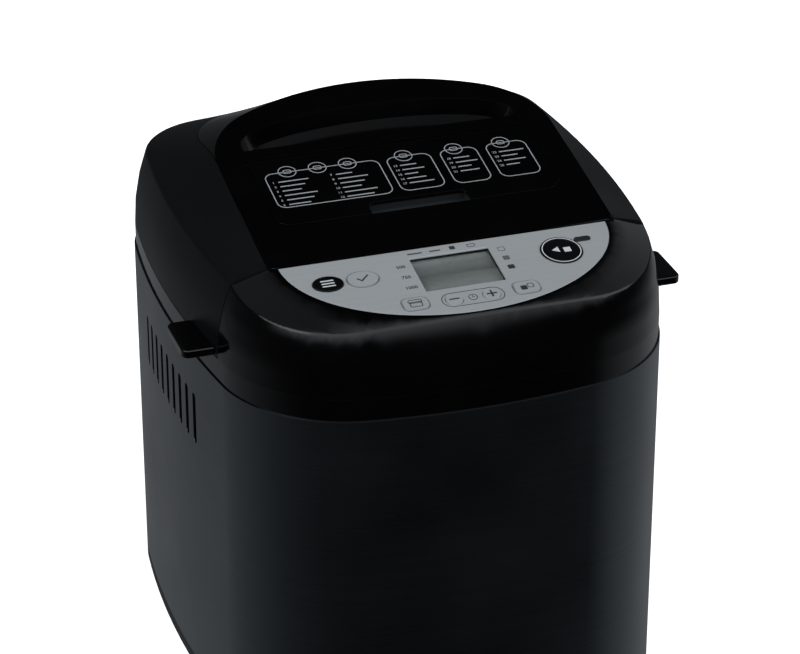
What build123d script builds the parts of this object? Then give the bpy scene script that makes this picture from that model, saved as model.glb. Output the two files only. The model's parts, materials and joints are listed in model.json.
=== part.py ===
"""Automatic bread machine with a hinged lid, an ingredient dispenser in the lid and a belt-driven paddle.

Millimetres. X runs to the right, Y to the back and Z up. The origin is on the floor, under the middle of the
casing. The fascia and the top of the lid lie in one sloping plane, and what sits there is placed on it.
"""

import os
from math import atan, cos, sin, sqrt

from build123d import *

os.makedirs("parts", exist_ok=True)

# Plan of the machine: bowed front, sides and back that run into round corners
half_width = 127.5
front_y = -143.0
rear_y = 143.0
widest_y = 15.0
front_bow = 390.0
side_bow = 615.0
rear_bow = 600.0
front_corner = 72.0
rear_corner = 50.0

# Levels
tray_bottom = 6.0
casing_bottom = 14.0
casing_top = 210.0
collar_top = 222.5
lid_gap = 0.6
crease_z = 266.0

# Sloping top: the front edge of the lid lies on this plane
split_y = -76.9
split_z = 272.1
top_slope = 0.19
split_half = 94.5
split_rake = -0.2
split_gap = 0.8
top_rear = 154.6
top_widest = 40.0
top_front = -3.6
top_front_bow = 2000.0
top_side_bow = 4000.0
top_rear_bow = 145.0
top_front_corner = 8.0
top_rear_corner = 50.0

# Walls of the upper mouldings
collar_inset = 0.8
crease_lean = 7.6
wall_bands = 3
moulding_wall = 2.5
shoulder_round = 2.5
crease_round = 4.0
shoulder_fall = 0.45
shoulder_reach = 34.0
border_front = -59.0
border_bow = 170.0
border_corner = 60.0

# Casing and base
casing_sheet = 0.8
vent_count = 9
vent_pitch = 11.7
vent_height = 30.0
vent_width = 4.6
vent_y = 8.5
vent_z = 171.0
tray_wall = 2.5
tray_fit = 0.3
tray_rim_top = 24.0
foot_x = 90.0
foot_y = 96.0
foot_radius = 12.0
foot_stem_radius = 4.0
foot_chamfer = 1.0
casing_post_x = 108.0
casing_post_y = 60.0
casing_post_radius = 6.0
casing_tab_z = 26.0
casing_tab_width = 16.0
gland_x = -70.0
gland_z = 44.0
gland_radius = 7.0
gland_bore = 4.0
gland_flange = 2.0

# Fasteners
screw_radius = 1.5
screw_head_radius = 3.0
screw_head_height = 2.0
screw_length = 8.0

# Baking chamber and heater
chamber_y = 25.0
chamber_x_size = 190.0
chamber_y_size = 175.0
chamber_corner = 28.0
chamber_floor = 58.0
chamber_sheet = 0.8
chamber_flange = 16.0
chamber_screw_out = 11.0
chamber_screw_y = 50.0
wire_opening_x = 80.0
wire_opening_y = 40.0
deck_thickness = 3.0
housing_screw_x = 100.0
housing_screw_y = -92.0
heater_radius = 3.3
heater_inset = 10.0
heater_bend = 20.0
heater_z = 80.0
terminal_x = 14.0
terminal_reach = 13.0
insulator_wall = 1.6
sensor_x = 45.0
sensor_z = 120.0
sensor_radius = 3.0
sensor_reach = 14.0
sensor_head = 6.0
cutout_x = -45.0
cutout_z = 206.0
cutout_width = 26.0
cutout_height = 13.0
cutout_depth = 6.0

# Pan, handle and paddle
pan_x_size = 150.0
pan_y_size = 132.0
pan_draft = 5.0
pan_corner = 30.0
pan_wall = 1.2
pan_bottom = 84.0
pan_top = 200.0
pan_rim = 5.0
pan_foot_radius = 36.5
pan_foot_wall = 2.5
seat_fit = 0.5
seat_wall = 4.5
seat_height = 11.0
pan_foot_bottom = 66.0
handle_wire = 2.25
handle_z = 206.0
handle_reach = 52.0
handle_half = 82.0
handle_bend = 18.0
handle_turn = 3.5
ear_x = 76.5
ear_thickness = 2.0
ear_half = 9.0
ear_top = 212.0
pin_fit = 0.06
shaft_radius = 4.0
shaft_flat = 3.0
pan_bush_radius = 9.0
pan_bush_top = 90.0
pan_bush_bottom = 77.0
pan_shaft_bottom = 68.0
pan_shaft_top = 106.0
wing_length = 28.0
wing_width = 7.0
wing_height = 6.0
paddle_hub_radius = 9.0
paddle_reach = 46.0
paddle_height = 34.0
paddle_thickness = 4.0
paddle_bulge_x = 37.0
paddle_bulge_height = 25.5

# Drive under the chamber
plate_top = 46.0
plate_thickness = 2.0
plate_x_size = 158.0
plate_front = -128.0
plate_rear = 88.0
plate_post_radius = 5.0
plate_post_x = 72.0
plate_post_front = -112.0
plate_post_rear = 76.0
motor_x = 40.0
motor_y = -97.0
motor_radius = 31.0
motor_height = 66.0
motor_bore = 18.5
motor_end = 6.0
rotor_gap = 0.7
motor_shaft_radius = 3.0
fan_radius = 27.0
fan_height = 10.0
fan_blades = 9
fan_disc = 2.0
blade_length = 18.0
blade_thickness = 1.6
large_pulley_radius = 40.0
small_pulley_radius = 8.0
pulley_bottom = 24.0
pulley_height = 14.0
pulley_flange = 2.0
belt_gap = 0.35
belt_thickness = 1.6
belt_width = 8.0
bush_wall = 2.5
bush_length = 6.0
housing_tube_radius = 12.0
housing_flange_radius = 24.0
spigot_radius = 9.0
spigot_height = 2.0
dog_radius = 20.0
dog_height = 4.0
prong_height = 7.0
prong_width = 6.0
prong_inner = 8.5
prong_clearance = 0.5
thrust_gap = 0.5

# Power board in the front compartment
power_x = -60.0
power_y = -76.0
power_width = 78.0
power_bottom = 34.0
power_height = 110.0
board_thickness = 1.6
rail_width = 5.0
rail_depth = 8.0
rail_top = 60.0
rail_fit = 0.2
transformer_width = 39.0
transformer_height = 36.0
transformer_z = 78.0
tall_part_depth = 26.0
upper_part_z = 122.0
upper_part_shift = 19.5
relay_width = 19.5
relay_height = 18.0
relay_depth = 15.5
capacitor_radius = 8.5

# Fascia and controls, placed on the sloping plane
fascia_half = 89.0
fascia_drop = 58.3
fascia_sheet = 1.2
fascia_gap = 0.15
fascia_margin = 1.0
lcd_width = 43.0
lcd_height = 28.5
lcd_v = -22.5
lcd_ledge = 2.0
lcd_module_margin = 4.0
lcd_glass = 1.2
control_gap = 0.25
button_rise = 0.6
button_travel = 1.0
button_flange = 0.8
button_play = 0.1
switch_height = 4.3
switch_size = 6.0
switch_clearance = 0.1
board_drop = 14.0
board_half = 80.0
board_front = 54.0
board_back = 8.5
board_screw_x = 33.0
board_screw_v = -12.0
menu_x = -68.2
select_x = -49.7
upper_row_v = -19.6
oval_width = 16.0
oval_height = 12.0
loaf_x = -30.2
crust_x = 29.2
lower_row_v = -45.6
pad_width = 13.0
pad_height = 9.0
pad_corner = 3.0
minus_x = -10.0
plus_x = 10.0
pill_v = -46.8
pill_end_radius = 4.5
start_x = 57.6
start_v = -20.2
start_radius = 9.0
ring_radius = 11.2
ring_rise = 0.5
indicator_x = 71.6
indicator_v = -13.2
indicator_length = 9.0
indicator_width = 3.6

# Lid
gloss_half = 94.5
gloss_rear = 182.0
gloss_corner = 52.0
gloss_sheet = 2.2
gloss_gap = 0.25
gloss_ledge = 6.0
flap_half = 78.5
flap_front = 34.0
flap_rear = 94.0
flap_corner = 8.0
flap_sheet = 2.2
flap_gap = 0.5
flap_barrel = 1.6
flap_pin_radius = 0.8
flap_pin_length = 6.0
notch_half = 27.5
notch_depth = 9.5
notch_corner = 4.0
well_depth = 7.0
well_wall = 1.6
scoop_half = 78.0
scoop_front = 103.7
scoop_side = 108.8
scoop_rear = 133.2
scoop_depth = 9.0
scoop_draft = 4.0
steam_slots = 7
steam_pitch = 15.0
steam_length = 10.0
steam_width = 2.6
hinge_y = 135.5
hinge_z = 231.0
hinge_radius = 4.8
hinge_pin_radius = 2.0
hinge_x = 62.0
ear_width = 14.0
knuckle_width = 9.0
knuckle_gap = 0.5
rear_lift = 3.4
liner_sheet = 0.8
liner_z = 225.6
liner_half = 92.0
liner_front = -58.0
liner_rear = 108.0
liner_step_y = 14.0
liner_step_z = 244.0
liner_top = 268.0
liner_corner = 16.0
liner_back_edge = 126.0
seal_width = 5.0
seal_outset = 2.0
seal_gap = 0.1
lid_boss_radius = 4.5
lid_boss_x = 108.0
lid_boss_rows = (-50.0, 30.0, 95.0)
tab_outer = 138.0
tab_front = -69.0
tab_rear = -35.0
tab_top = 228.0
tab_bottom = 223.4
tab_corner = 4.0
box_half = 68.0
box_wall = 1.6
box_corner = 6.0
box_front_v = 52.0
box_rear_v = 90.0
box_flange_half = 86.0
box_flange_front = 49.2
box_flange_rear = 99.0
box_flange_sheet = 4.0
box_relief = 0.4
outlet_half = 60.0
outlet_front = -25.0
outlet_rear = 6.0
box_bottom = 247.0
door_sheet = 1.8
door_gap = 0.5
door_overlap = 1.2
door_barrel = 1.5
door_pin_radius = 0.8
door_pin_length = 4.0
lug_width = 4.0
lug_gap = 0.3
outlet_clearance = 4.0

# Values that follow from those above
tilt = atan(top_slope)
top_plane = Plane(origin=(0, split_y, split_z), x_dir=(1, 0, 0), z_dir=(0, -sin(tilt), cos(tilt)))
lid_bottom = collar_top + lid_gap
chamber_top = collar_top - deck_thickness
deck_bottom = chamber_top
heater_half_x = chamber_x_size / 2 - heater_inset
heater_half_y = chamber_y_size / 2 - heater_inset
chamber_front = chamber_y - chamber_y_size / 2
plate_bottom = plate_top - plate_thickness
plate_y = (plate_front + plate_rear) / 2
spigot_top = chamber_floor + chamber_sheet + spigot_height
dog_bottom = spigot_top + thrust_gap
dog_top = dog_bottom + dog_height
button_depth = fascia_sheet + moulding_wall
flange_top = -button_depth - button_play
stem_end = -board_drop + switch_height + button_travel + switch_clearance
gloss_seat = gloss_sheet + gloss_gap
flap_hinge_v = flap_rear - flap_barrel
flap_axis = top_plane.from_local_coords(Vector(0, flap_hinge_v, -flap_barrel))


def corner_centre(end_centre, end_radius, side_centre, side_radius, corner_radius):
    """Centre of the right-hand corner arc that touches an end arc and the side arc from inside."""
    gap = side_centre - end_centre
    reach = end_radius - corner_radius
    along = (reach**2 - (side_radius - corner_radius) ** 2 + gap.length**2) / (2 * gap.length)
    across = sqrt(reach**2 - along**2)
    way = gap.normalized()
    foot = end_centre + way * along
    sideways = Vector(-way.Y, way.X) * across
    return max(foot + sideways, foot - sideways, key=lambda point: point.X)


def bowed_ring(half, widest, front, rear, bows, corners, inset):
    """Edges of a closed outline with bowed front, sides and back and round corners, drawn in by inset."""
    end_bow, flank_bow, back_bow = bows
    end_corner, back_corner = corners
    side_centre = Vector(half - flank_bow, widest)
    front_centre = Vector(0, front + end_bow)
    rear_centre = Vector(0, rear - back_bow)
    front_turn = corner_centre(front_centre, end_bow, side_centre, flank_bow, end_corner)
    rear_turn = corner_centre(rear_centre, back_bow, side_centre, flank_bow, back_corner)

    def out_from(centre, way, radius):
        return centre + way.normalized() * (radius - inset)

    front_end = out_from(front_centre, front_turn - front_centre, end_bow)
    side_front = out_from(side_centre, front_turn - side_centre, flank_bow)
    side_rear = out_from(side_centre, rear_turn - side_centre, flank_bow)
    rear_end = out_from(rear_centre, rear_turn - rear_centre, back_bow)
    front_way = (front_end - front_turn).normalized() + (side_front - front_turn).normalized()
    rear_way = (rear_end - rear_turn).normalized() + (side_rear - rear_turn).normalized()
    right = [front_end, out_from(front_turn, front_way, end_corner), side_front]
    right += [Vector(half - inset, widest)]
    right += [side_rear, out_from(rear_turn, rear_way, back_corner), rear_end]
    left = [Vector(-point.X, point.Y) for point in reversed(right)]
    points = right + [Vector(0, rear - inset)] + left + [Vector(0, front + inset)]
    with BuildLine() as ring:
        for start in range(0, len(points), 2):
            ThreePointArc(points[start], points[start + 1], points[(start + 2) % len(points)])
    return ring.edges()


def plan_outline(inset=0.0):
    """Edges of the casing's outline seen from above, drawn in by inset."""
    bows = (front_bow, side_bow, rear_bow)
    return bowed_ring(half_width, widest_y, front_y, rear_y, bows, (front_corner, rear_corner), inset)


def top_outline(inset=0.0):
    """Edges of the flat part of the lid's top, on the sloping plane, drawn in by inset."""
    bows = (top_front_bow, top_side_bow, top_rear_bow)
    corners = (top_front_corner, top_rear_corner)
    return bowed_ring(split_half, top_widest, top_front, top_rear, bows, corners, inset)


def gloss_outline(inset=0.0):
    """Edges of the gloss panel's outline on the sloping plane, past the lid's front, drawn in by inset."""
    bows = (top_front_bow, top_side_bow, top_front_bow)
    corners = (top_front_corner, gloss_corner)
    return bowed_ring(gloss_half, top_widest, top_front - gloss_ledge, gloss_rear, bows, corners, inset)


def border_outline(inset=0.0):
    """Edges of the flat top's border on the sloping plane, round the fascia and past the lid, drawn in by inset."""
    bows = (border_bow, top_side_bow, top_side_bow)
    corners = (border_corner, border_corner)
    return bowed_ring(split_half, top_widest, border_front, 2 * rear_y, bows, corners, inset)


def shoulder_block(inset=0.0):
    """Tall block whose top falls away outside the border, drawn in by inset."""
    with BuildPart() as block:
        for out in (0.0, shoulder_reach):
            with BuildSketch(top_plane.offset(-inset - out * shoulder_fall)):
                make_face(border_outline(inset / 2 - out))
        loft(ruled=True)
        extrude(block.faces().sort_by(Axis(top_plane.origin, top_plane.z_dir))[0], amount=2 * crease_z)
    return block.part


def lid_form(inset=0.0):
    """Solid form of the lid's outside, drawn in by inset: leaning walls, crease and sloping top."""
    level = crease_z - inset / 2
    with BuildPart() as form:
        for band in range(wall_bands + 1):
            share = band / wall_bands
            with BuildSketch(Plane.XY.offset(lid_bottom + (level - lid_bottom) * share)):
                make_face(plan_outline(collar_inset + crease_lean * share**2 + inset))
        with BuildSketch(top_plane.offset(-inset)):
            make_face(top_outline(inset))
        loft(ruled=True)
        if inset == 0:
            fillet(form.edges().filter_by_position(Axis.Z, crease_z - lid_gap, crease_z + lid_gap), crease_round)
        add(shoulder_block(inset), mode=Mode.INTERSECT)
    return form.part


def housing_form(inset=0.0):
    """Solid form of the control housing's outside, drawn in by inset: the lid's walls, cut by the slope."""
    rise = crease_z - lid_bottom
    last_share = 1 - 1 / wall_bands
    top_lean = crease_lean * (2 - last_share**2)
    with BuildPart() as form:
        with BuildSketch(Plane.XY.offset(collar_top)):
            make_face(plan_outline(collar_inset + inset))
        for band in range(wall_bands):
            share = band / wall_bands
            with BuildSketch(Plane.XY.offset(lid_bottom + rise * share)):
                make_face(plan_outline(collar_inset + crease_lean * share**2 + inset))
        with BuildSketch(Plane.XY.offset(crease_z + rise / wall_bands)):
            make_face(plan_outline(collar_inset + top_lean + inset))
        loft(ruled=True)
        split(bisect_by=top_plane.offset(-inset), keep=Keep.BOTTOM)
        add(shoulder_block(inset), mode=Mode.INTERSECT)
        if inset == 0:
            front_edges = form.edges().filter_by_position(Axis.Y, front_y, split_y)
            fillet(front_edges.filter_by(GeomType.BSPLINE), shoulder_round)
    return form.part


def behind_split(shift=0.0):
    """Tall prism behind the joint between control housing and lid, moved back by shift."""
    reach = half_width + split_half
    side_y = split_y - split_rake * (reach - split_half) + shift
    with BuildPart() as region:
        with BuildSketch():
            with BuildLine():
                Polyline(
                    (-reach, side_y),
                    (-split_half, split_y + shift),
                    (split_half, split_y + shift),
                    (reach, side_y),
                    (reach, 2 * rear_y),
                    (-reach, 2 * rear_y),
                    close=True,
                )
            make_face()
        extrude(amount=2 * crease_z)
    return region.part


def gloss_prism(inset=0.0):
    """Prism square to the sloping plane over the gloss panel's outline, drawn in by inset."""
    with BuildPart() as region:
        with BuildSketch(top_plane):
            make_face(gloss_outline(inset))
        extrude(amount=crease_z / 3, both=True)
    return region.part


def pan_head_screw(length):
    """Cross-headed screw with its shank down and the underside of its head at the origin."""
    with BuildPart() as screw:
        with BuildSketch():
            Circle(screw_radius)
        extrude(amount=-length)
        with BuildSketch():
            Circle(screw_head_radius)
        extrude(amount=screw_head_height)
        fillet(screw.edges().group_by(Axis.Z)[-1], screw_head_height / 3)
        with BuildSketch(Plane.XY.offset(screw_head_height)):
            Rectangle(screw_head_radius, screw_radius / 2)
            Rectangle(screw_radius / 2, screw_head_radius)
        extrude(amount=-screw_head_height / 2, mode=Mode.SUBTRACT)
    return screw.part


screw = pan_head_screw(screw_length)
casing_post_rows = (chamber_y - casing_post_y, chamber_y + casing_post_y)
casing_posts = [(side * casing_post_x, y) for side in (-1, 1) for y in casing_post_rows]
plate_posts = [(side * plate_post_x, y) for side in (-1, 1) for y in (plate_post_front, plate_post_rear)]

# Base tray with its upstand, posts and board rails
rail_x = [power_x + side * (power_width + rail_width) / 2 for side in (-1, 1)]
with BuildPart() as base_tray:
    with BuildSketch(Plane.XY.offset(tray_bottom)):
        make_face(plan_outline())
    extrude(amount=casing_bottom - tray_bottom)
    chamfer(base_tray.edges().group_by(Axis.Z)[0], tray_wall / 2)
    with BuildSketch(Plane.XY.offset(casing_bottom)):
        make_face(plan_outline(casing_sheet + tray_fit))
    extrude(amount=tray_rim_top - casing_bottom)
    with BuildSketch(Plane.XY.offset(tray_rim_top)):
        make_face(plan_outline(casing_sheet + tray_fit + tray_wall))
    extrude(amount=tray_bottom + tray_wall - tray_rim_top, mode=Mode.SUBTRACT)
    with BuildSketch(Plane.XY.offset(tray_bottom)):
        with Locations(*casing_posts):
            Circle(casing_post_radius)
    extrude(amount=casing_tab_z - tray_bottom)
    with BuildSketch(Plane.XY.offset(tray_bottom)):
        with Locations(*plate_posts):
            Circle(plate_post_radius)
    extrude(amount=plate_bottom - tray_bottom)
    with BuildSketch(Plane.XY.offset(tray_bottom + tray_wall / 2)):
        with Locations(*[(x, power_y) for x in rail_x]):
            Rectangle(rail_width + rail_depth, rail_depth)
    extrude(amount=rail_top - tray_bottom)
    with BuildSketch(Plane.XY.offset(power_bottom)):
        with Locations((power_x, power_y)):
            Rectangle(power_width + 2 * rail_fit, board_thickness + 2 * rail_fit)
    extrude(amount=rail_top, mode=Mode.SUBTRACT)
    with Locations(*[Location((x, y, tray_bottom), (180, 0, 0)) for x, y in casing_posts]):
        CounterBoreHole(screw_radius, screw_head_radius + tray_fit, tray_rim_top - screw_length / 2)
    with BuildSketch(Plane.XY.offset(plate_bottom)):
        with Locations(*plate_posts):
            Circle(screw_radius)
    extrude(amount=-screw_length, mode=Mode.SUBTRACT)
    with BuildSketch(Plane.XY.offset(tray_bottom)):
        with GridLocations(2 * foot_x, 2 * foot_y, 2, 2):
            Circle(foot_stem_radius)
        with GridLocations(vent_pitch, 1, vent_count, 1):
            SlotOverall(vent_height, vent_width, rotation=90)
    extrude(amount=tray_wall, mode=Mode.SUBTRACT)
base_tray.part.label = "base_tray"
export_step(base_tray.part, "parts/base_tray.step")

with BuildPart() as rubber_feet:
    with BuildSketch():
        with GridLocations(2 * foot_x, 2 * foot_y, 2, 2):
            Circle(foot_radius)
    extrude(amount=tray_bottom)
    chamfer(rubber_feet.edges().group_by(Axis.Z)[0], foot_chamfer)
    with BuildSketch(Plane.XY.offset(tray_bottom)):
        with GridLocations(2 * foot_x, 2 * foot_y, 2, 2):
            Circle(foot_stem_radius)
    extrude(amount=tray_wall)
rubber_feet.part.label = "rubber_feet"
export_step(rubber_feet.part, "parts/rubber_feet.step")

# Casing: one wrapped sheet with side vents, screw tabs and the cord inlet's hole
gland_wall_y = rear_y - rear_bow + sqrt(rear_bow**2 - gland_x**2)
with BuildPart() as outer_casing:
    with BuildSketch(Plane.XY.offset(casing_bottom)):
        make_face(plan_outline())
        make_face(plan_outline(casing_sheet), mode=Mode.SUBTRACT)
    extrude(amount=casing_top - casing_bottom)
    with BuildSketch(Plane.YZ):
        with Locations((vent_y, vent_z)):
            with GridLocations(vent_pitch, 1, vent_count, 1):
                SlotOverall(vent_height, vent_width, rotation=90)
    extrude(amount=half_width, both=True, mode=Mode.SUBTRACT)
    with BuildSketch(Plane.XY.offset(casing_tab_z)):
        with Locations(*casing_posts):
            Rectangle(4 * casing_post_radius + casing_tab_width, casing_tab_width)
        make_face(plan_outline(casing_sheet / 2), mode=Mode.INTERSECT)
        with Locations(*casing_posts):
            Circle(screw_radius, mode=Mode.SUBTRACT)
    extrude(amount=casing_sheet)
    with BuildSketch(Plane.XZ.offset(-rear_y)):
        with Locations((gland_x, gland_z)):
            Circle(gland_radius)
    extrude(amount=rear_corner, mode=Mode.SUBTRACT)
outer_casing.part.label = "outer_casing"
export_step(outer_casing.part, "parts/outer_casing.step")

# Cord inlet: a flanged gland gripping the back of the casing
with BuildPart() as cord_gland:
    with BuildSketch(Plane.XZ.offset(-gland_wall_y - gland_flange)):
        with Locations((gland_x, gland_z)):
            Circle(gland_radius + gland_flange)
    extrude(amount=2 * gland_flange)
    with BuildSketch(Plane.XZ.offset(-gland_wall_y)):
        with Locations((gland_x, gland_z)):
            Circle(gland_radius)
    extrude(amount=gland_radius)
    with BuildSketch(Plane.XZ.offset(-rear_y)):
        with Locations((gland_x, gland_z)):
            Circle(gland_bore)
    extrude(amount=rear_corner, mode=Mode.SUBTRACT)
    add(outer_casing.part, mode=Mode.SUBTRACT)
cord_gland.part.label = "cord_gland"
export_step(cord_gland.part, "parts/cord_gland.step")

# Collar round the top of the casing, with the deck round the chamber and the lid's hinge ears
chamber_screw_x = chamber_x_size / 2 + chamber_screw_out
chamber_screw_rows = (chamber_y - chamber_screw_y, chamber_y + chamber_screw_y)
chamber_screws_at = [(side * chamber_screw_x, y) for side in (-1, 1) for y in chamber_screw_rows]
wire_opening_at = (front_y + split_y) / 2
housing_screws_at = [(side * housing_screw_x, housing_screw_y) for side in (-1, 1)]
with BuildPart() as collar:
    with BuildSketch(Plane.XY.offset(casing_top)):
        make_face(plan_outline(collar_inset))
    extrude(amount=collar_top - casing_top)
    with BuildSketch(Plane.XY.offset(casing_top)):
        make_face(plan_outline(casing_sheet + tray_fit))
    extrude(amount=-3 * moulding_wall)
    with BuildSketch(Plane.XY.offset(deck_bottom)):
        make_face(plan_outline(casing_sheet + tray_fit + moulding_wall))
    extrude(amount=casing_top - 3 * moulding_wall - deck_bottom, mode=Mode.SUBTRACT)
    with BuildSketch(Plane.XY.offset(collar_top)):
        with Locations((0, chamber_y)):
            RectangleRounded(chamber_x_size, chamber_y_size, chamber_corner)
        with Locations((0, wire_opening_at)):
            RectangleRounded(wire_opening_x, wire_opening_y, moulding_wall)
        with Locations(*chamber_screws_at, *housing_screws_at):
            Circle(screw_radius)
    extrude(amount=-deck_thickness, mode=Mode.SUBTRACT)
    for side in (-1, 1):
        with BuildSketch(Plane.YZ.offset(side * hinge_x)):
            with Locations((hinge_y, hinge_z)):
                Circle(hinge_radius)
            with Locations((hinge_y, (hinge_z + deck_bottom) / 2)):
                Rectangle(2 * hinge_radius, hinge_z - deck_bottom)
            with Locations((hinge_y, hinge_z)):
                Circle(hinge_pin_radius, mode=Mode.SUBTRACT)
        extrude(amount=ear_width / 2, both=True)
collar.part.label = "collar"
export_step(collar.part, "parts/collar.step")

hinge_pin_half = ear_width / 2 + knuckle_gap + knuckle_width
with BuildPart() as hinge_pins:
    for side in (-1, 1):
        with BuildSketch(Plane.YZ.offset(side * hinge_x)):
            with Locations((hinge_y, hinge_z)):
                Circle(hinge_pin_radius)
        extrude(amount=hinge_pin_half, both=True)
hinge_pins.part.label = "hinge_pins"
export_step(hinge_pins.part, "parts/hinge_pins.step")

# Control housing over the front of the deck
controls = {
    "menu_button": ("oval", menu_x, upper_row_v),
    "select_button": ("oval", select_x, upper_row_v),
    "loaf_button": ("pad", loaf_x, lower_row_v),
    "minus_button": ("dot", minus_x, pill_v),
    "plus_button": ("dot", plus_x, pill_v),
    "crust_button": ("pad", crust_x, lower_row_v),
    "start_stop_button": ("round", start_x, start_v),
}
board_screws_at = [(side * board_screw_x, board_screw_v) for side in (-1, 1)]


def cap_shape(kind, grow=0.0):
    """Draws a button's outline, grown by grow, in the sketch that is open."""
    if kind == "oval":
        Ellipse(oval_width / 2 + grow, oval_height / 2 + grow)
    elif kind == "pad":
        RectangleRounded(pad_width + 2 * grow, pad_height + 2 * grow, pad_corner + grow)
    elif kind == "dot":
        Circle(pill_end_radius + grow)
    else:
        Circle(start_radius + grow)


def half_oval(half, drop, back):
    """Draws the front half of an oval in the open sketch, stopping short of the lid's edge by back."""
    Ellipse(half, drop)
    with Locations((0, drop - back)):
        Rectangle(2 * half + 2, 2 * drop, mode=Mode.SUBTRACT)


housing_hollow = housing_form(moulding_wall) - behind_split(-split_gap / 2 - moulding_wall)
with BuildPart() as housing_bosses:
    with BuildSketch(Plane.XY.offset(collar_top)):
        with Locations(*housing_screws_at):
            Circle(lid_boss_radius)
    extrude(amount=split_z - collar_top)
    add(housing_form(moulding_wall / 2), mode=Mode.INTERSECT)
with BuildPart() as control_housing:
    add(housing_form())
    add(behind_split(-split_gap / 2), mode=Mode.SUBTRACT)
    add(housing_hollow, mode=Mode.SUBTRACT)
    add(housing_bosses.part)
    with BuildSketch(Plane.XY.offset(collar_top)):
        with Locations(*housing_screws_at):
            Circle(screw_radius)
    extrude(amount=screw_length, mode=Mode.SUBTRACT)
    with BuildSketch(top_plane.offset(-board_drop)):
        with Locations(*board_screws_at):
            Circle(2 * screw_radius)
    extrude(amount=board_drop - fascia_sheet)
    with BuildSketch(top_plane.offset(-board_drop)):
        with Locations(*board_screws_at):
            Circle(screw_radius)
    extrude(amount=screw_length - board_thickness, mode=Mode.SUBTRACT)
    with BuildSketch(top_plane):
        half_oval(fascia_half + fascia_gap, fascia_drop + fascia_gap, fascia_margin)
    extrude(amount=-fascia_sheet, mode=Mode.SUBTRACT)
    with BuildSketch(top_plane):
        for kind, x, v in controls.values():
            with Locations((x, v)):
                cap_shape(kind, control_gap)
        with Locations((0, lcd_v)):
            Rectangle(lcd_width, lcd_height)
        with Locations((indicator_x, indicator_v)):
            SlotOverall(indicator_length, indicator_width)
    extrude(amount=-button_depth - moulding_wall, mode=Mode.SUBTRACT)
control_housing.part.label = "control_housing"
export_step(control_housing.part, "parts/control_housing.step")

with BuildPart() as fascia_panel:
    with BuildSketch(top_plane):
        half_oval(fascia_half, fascia_drop, fascia_margin + fascia_gap)
        for kind, x, v in controls.values():
            with Locations((x, v)):
                if kind == "round":
                    Circle(ring_radius, mode=Mode.SUBTRACT)
        with Locations((0, lcd_v)):
            Rectangle(lcd_width, lcd_height, mode=Mode.SUBTRACT)
        with Locations((indicator_x, indicator_v)):
            SlotOverall(indicator_length, indicator_width, mode=Mode.SUBTRACT)
    extrude(amount=-fascia_sheet)
    with BuildSketch(top_plane):
        for kind, x, v in controls.values():
            with Locations((x, v)):
                cap_shape(kind, control_gap)
    extrude(amount=-fascia_sheet, mode=Mode.SUBTRACT)
fascia_panel.part.label = "fascia_panel"
export_step(fascia_panel.part, "parts/fascia_panel.step")

with BuildPart() as lcd_window:
    with BuildSketch(top_plane.offset(-moulding_wall)):
        with Locations((0, lcd_v)):
            Rectangle(lcd_width + 2 * lcd_ledge, lcd_height + 2 * lcd_ledge)
    extrude(amount=-lcd_glass)
lcd_window.part.label = "lcd_window"
export_step(lcd_window.part, "parts/lcd_window.step")

with BuildPart() as lcd_module:
    with BuildSketch(top_plane.offset(-board_drop)):
        with Locations((0, lcd_v)):
            RectangleRounded(lcd_width + lcd_module_margin, lcd_height + lcd_module_margin, lcd_ledge)
    extrude(amount=board_drop - moulding_wall - lcd_glass)
lcd_module.part.label = "lcd_module"
export_step(lcd_module.part, "parts/lcd_module.step")

with BuildPart() as indicator_lens:
    with BuildSketch(top_plane.offset(-button_depth)):
        with Locations((indicator_x, indicator_v)):
            SlotOverall(indicator_length, indicator_width)
    extrude(amount=button_depth + ring_rise)
indicator_lens.part.label = "indicator_lens"
export_step(indicator_lens.part, "parts/indicator_lens.step")

with BuildPart() as start_button_ring:
    with BuildSketch(top_plane.offset(-fascia_sheet)):
        with Locations((start_x, start_v)):
            Circle(ring_radius)
            Circle(start_radius + control_gap, mode=Mode.SUBTRACT)
    extrude(amount=fascia_sheet + ring_rise)
start_button_ring.part.label = "start_button_ring"
export_step(start_button_ring.part, "parts/start_button_ring.step")

with BuildPart() as control_board:
    with BuildSketch(top_plane.offset(-board_drop)):
        half_oval(board_half, board_front, board_back)
        with Locations(*board_screws_at):
            Circle(screw_radius, mode=Mode.SUBTRACT)
    extrude(amount=-board_thickness)
control_board.part.label = "control_board"
export_step(control_board.part, "parts/control_board.step")

with BuildPart() as key_switches:
    with BuildSketch(top_plane.offset(-board_drop)):
        with Locations(*[(x, v) for kind, x, v in controls.values()]):
            Rectangle(switch_size, switch_size)
    extrude(amount=switch_height - button_travel)
    with BuildSketch(top_plane.offset(-board_drop)):
        with Locations(*[(x, v) for kind, x, v in controls.values()]):
            Circle(switch_size / 4)
    extrude(amount=switch_height)
key_switches.part.label = "key_switches"
export_step(key_switches.part, "parts/key_switches.step")


def push_button(kind, x, v):
    """Button cap with the flange that keeps it in the housing and the stem that presses its switch."""
    flange_sheet = button_flange + control_gap
    with BuildPart() as button:
        with BuildSketch(top_plane.offset(flange_top)):
            with Locations((x, v)):
                cap_shape(kind)
        extrude(amount=button_rise - flange_top)
        with BuildSketch(top_plane.offset(flange_top)):
            with Locations((x, v)):
                cap_shape(kind, flange_sheet)
        extrude(amount=-flange_sheet)
        with BuildSketch(top_plane.offset(stem_end)):
            with Locations((x, v)):
                Circle(switch_size / 3)
        extrude(amount=flange_top - flange_sheet - stem_end)
    return button.part


for name, (kind, x, v) in controls.items():
    button = push_button(kind, x, v)
    button.label = name
    export_step(button, f"parts/{name}.step")

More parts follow.
